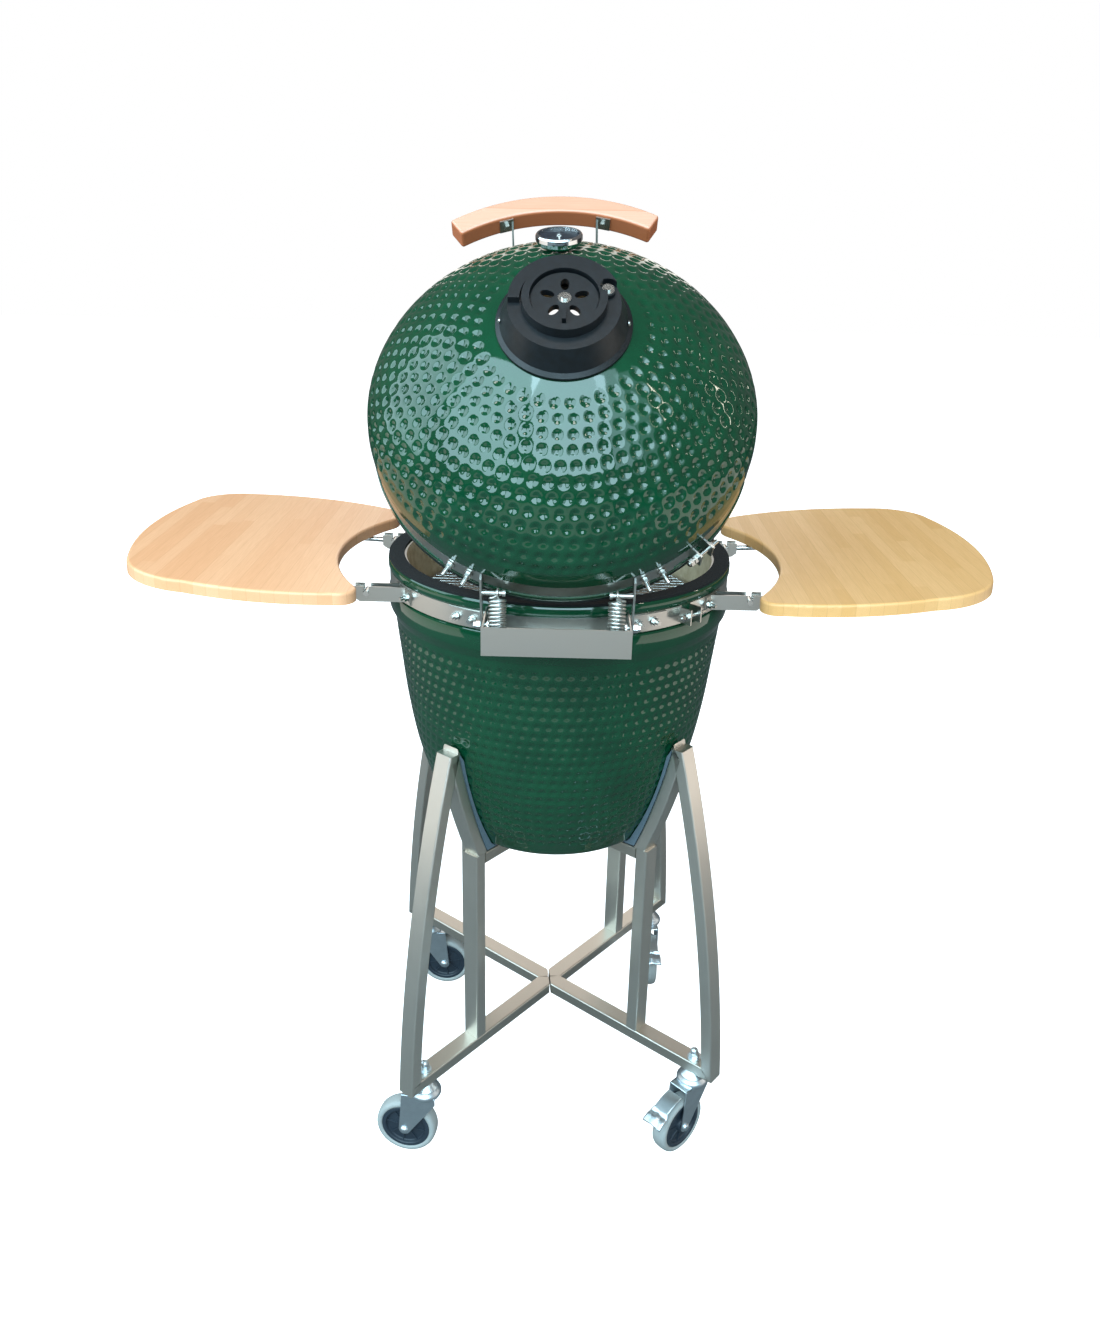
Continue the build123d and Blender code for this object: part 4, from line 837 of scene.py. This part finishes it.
def casterFork(corner, place):
    # two side plates, a top plate, the swivel's dome and the axle with its two heads
    trail, top, half, sheet = caster["trail"], caster["forkTop"], caster["half"], caster["sheet"]
    parts = []
    for y in (-half, half - sheet):
        matrix = place @ Matrix.Translation((0, (y + sheet) * mm, 0)) @ Matrix.Rotation(np.pi / 2, 4, "X")
        parts.append((moved(plate(sidePlate(), sheet) * mm, matrix), tube))
    outline = roundedBox(trail + 24, 2 * half, 2.0)[:, :2] + np.array([(trail - 18) / 2, 0])
    topPlate = plate(outline, sheet, 0.8) + np.array([0, 0, top - sheet])
    parts.append((moved(topPlate * mm, place), tube))
    dome = [(6, 118), (24.5, 118.6), (25.8, 121), (25.8, 124.5), (24.5, 127.5), (21, 131), (20.5, 133), (14, 139),
            (12, 141.6), (6, 141.6)]
    parts.append((lathed(dome, 40, place), loop))
    head = [(0.4, 0), (6.8, 0), (7.0, 0.8), (6.2, 2.8), (4.4, 4.3), (2.2, 5.0), (0.4, 5.1)]
    for y, turn in ((-half, 0), (half, np.pi)):
        seat = alongY(place, trail, y, caster["axle"]) @ Matrix.Rotation(turn, 4, "X")
        parts.append((lathed(head, 24, seat), tube))
    axle = [(0.4, -half), (4, -half), (4, half), (0.4, half)]
    parts.append((lathed(axle, 20, alongY(place, trail, 0, caster["axle"])), tube))
    joined(f"casterFork_{corner}", parts, zinc, f"caster_{corner}", (f"caster_fork_{corner}",), 32)


def casterWheel(corner, place):
    # a turned hub with eight ribs on each face, and a turned tyre round it
    axle = alongY(place, caster["trail"], 0, caster["axle"])
    face = [(4.1, 14.5), (10.5, 14.5), (11.6, 13.6), (12.4, 9.2), (14, 8.2), (30.5, 7.4), (32, 8.4), (33.2, 11.8),
            (34.2, 12.6), (38.8, 12.6), (39.8, 11.8)]
    profile = [(r, -h) for r, h in face] + face[::-1]
    parts = [(lathed(profile, 72, axle), loop)]
    for rib in range(8):
        turn = np.radians(45 * rib + 10)
        out = np.array([np.cos(turn), np.sin(turn), 0])
        for sign in (-1, 1):
            line = np.array([out * 11.5 + (0, 0, sign * 8.6), out * 32.4 + (0, 0, sign * 8.2)])
            grid = swept(line, (0, 0, 1), roundedBox(3.2, 2.2, 0.5, 3))[0]
            parts.append((moved(grid * mm, axle), tube))
    joined(f"casterHub_{corner}", parts, hubPlastic, f"wheel_{corner}", (f"caster_hub_{corner}",), 30)
    face = [(39.9, 11.2), (40.4, 12.4), (42.5, 13.3), (45.5, 13.2), (47.8, 11.8), (49.2, 9.0), (49.8, 5.0), (50.0, 0)]
    tread = [(r, -h) for r, h in face] + face[-2::-1]
    gridPiece(f"casterTyre_{corner}", lathed(tread, 96, axle), greyRubber, f"wheel_{corner}",
              (f"caster_tyre_{corner}",), **loop)


def brakePedal(corner, place):
    # a pressed tongue: its section sags sideways and the sheet bends down then up along its length
    trail = caster["trail"]
    path = bezierLine([(trail + 9.5, 114), (trail + 26, 110.6), (trail + 45, 102), (trail + 50, 98),
                       (trail + 58, 96), (trail + 68, 89.5)], 1.5)
    width = np.interp(path[:, 0], [trail + 9, trail + 44, trail + 50, trail + 68], [27, 27, 34, 36])
    across = np.linspace(-0.5, 0.5, 19)
    dish = 0.8 * np.cos(4 * np.pi * across)
    step = np.clip((path[:, 0] - trail - 46) / 5, 0, 1)
    x = path[:, :1] + 0 * across
    y = width[:, None] * across
    z = path[:, 1:] + step[:, None] * dish - 3.0 * step[:, None] * (2 * across) ** 4
    top = np.stack([x, y, z], -1)
    under = top - np.array([0, 0, 2.0])
    ring = np.concatenate([top, under[:, ::-1]], 1)
    gridPiece(f"brakePedal_{corner}", moved(ring * mm, place), zinc, f"brake_{corner}",
              (f"brake_pedal_{corner}",), **tube)


for corner in corners:
    stem = Vector(joints[f"swivel_{corner}"]["pos_m"])
    toward = Vector(joints[f"spin_{corner}"]["pos_m"]) - stem
    place = Matrix.Translation((stem.x, stem.y, 0)) @ Matrix.Rotation(np.arctan2(toward.y, toward.x), 4, "Z")
    casterFork(corner, place)
    casterWheel(corner, place)
    if f"brake_{corner}" in frame["bodies"]:
        brakePedal(corner, place)
print("casters made")


# the stage: a pale floor and tall soft boxes that stand where the windows of a bright room would

stage = {"half": 14.0, "floorSeen": 0.9, "floorLit": 0.14, "floorGlow": 0.95, "worldSeen": 1.0, "worldLit": 0.16}


def makeStage():
    # floor and world are white to the eye and dimmer as light, so that the glaze keeps its depth
    made, tree, shader = newMaterial("paleFloor", "#f6f6f4", 0.9)
    seen = addNode(tree, "ShaderNodeLightPath", "Is Camera Ray")
    tone = {"Value": seen, "To Min": stage["floorLit"], "To Max": stage["floorSeen"]}
    tree.links.new(addNode(tree, "ShaderNodeMapRange", links=tone), shader.inputs["Base Color"])
    glow = {"Value": seen, "To Max": stage["floorGlow"]}
    tree.links.new(addNode(tree, "ShaderNodeMapRange", links=glow), shader.inputs["Emission Strength"])
    shader.inputs["Emission Color"].default_value = (1, 1, 1, 1)
    shader.inputs["Specular IOR Level"].default_value = 0.1
    mesh = bpy.data.meshes.new("floor")
    half = stage["half"]
    mesh.from_pydata([(-half, -half, 0), (half, -half, 0), (half, half, 0), (-half, half, 0)], [], [(0, 1, 2, 3)])
    mesh.materials.append(made)
    floor = bpy.data.objects.new("floor", mesh)
    bpy.context.scene.collection.objects.link(floor)
    world = bpy.data.worlds.new("studio")
    bpy.context.scene.world = world
    world.use_nodes = True
    background = world.node_tree.nodes["Background"]
    background.inputs["Color"].default_value = (1, 1, 1, 1)
    seen = addNode(world.node_tree, "ShaderNodeLightPath", "Is Camera Ray")
    links = {"Value": seen, "To Min": stage["worldLit"], "To Max": stage["worldSeen"]}
    strength = addNode(world.node_tree, "ShaderNodeMapRange", links=links)
    world.node_tree.links.new(strength, background.inputs["Strength"])


def softBox(name, place, target, size, radiance, colour):
    # power of a flat light from the brightness of its face: pi * area * radiance
    data = bpy.data.lights.new(name, "AREA")
    data.shape = "RECTANGLE"
    data.size, data.size_y = size
    data.energy = np.pi * size[0] * size[1] * radiance
    data.color = linear(colour)
    light = bpy.data.objects.new(name, data)
    towards = Vector(target) - Vector(place)
    light.matrix_world = Matrix.Translation(place) @ towards.to_track_quat("-Z", "Y").to_matrix().to_4x4()
    light.visible_camera = False
    bpy.context.scene.collection.objects.link(light)


makeStage()
daylight, warmLamp, warmPanel = "#c6ebfb", "#fff4e4", "#fff6ec"
# name, azimuth from +Y towards +X in degrees, distance, height of the middle, size, brightness, colour
lights = (
    ("windowBehind", -4, 4.4, 3.7, (3.4, 4.4), 7.6, daylight),
    ("windowCorner", 44, 4.4, 3.6, (3.4, 4.6), 6.4, daylight),
    ("windowEdge", -32.5, 4.4, 3.7, (1.15, 4.2), 3.0, daylight),
    ("windowFringe", -46, 4.4, 3.6, (0.9, 3.8), 1.2, daylight),
    ("windowSide", 92, 4.4, 3.2, (3.2, 3.6), 3.6, "#cdeefb"),
    ("skylight", 0, 1.5, 4.4, (1.1, 0.95), 8.0, "#f4f2f0"),
    ("lampRight", -58, 3.4, 3.4, (0.10, 1.2), 16.0, warmLamp),
    ("lampFarRight", -100, 3.6, 2.4, (0.10, 1.2), 14.0, warmLamp),
    ("lowPanelBehind", 5, 2.5, 0.35, (3.0, 0.9), 0.5, warmPanel),
    ("lowPanelSide", 92, 2.5, 0.35, (3.0, 0.9), 1.0, warmPanel),
    ("lowPanelRight", -82, 2.5, 0.35, (3.0, 0.9), 1.3, warmPanel),
    ("lampFront", 180, 4.5, 2.6, (2.6, 2.2), 1.6, "#fff8f0"))
for name, azimuth, distance, height, size, radiance, colour in lights:
    turn = np.radians(azimuth)
    softBox(name, (distance * np.sin(turn), distance * np.cos(turn), height), (0, 0, 1.0), size, radiance, colour)
print("stage and lights made")
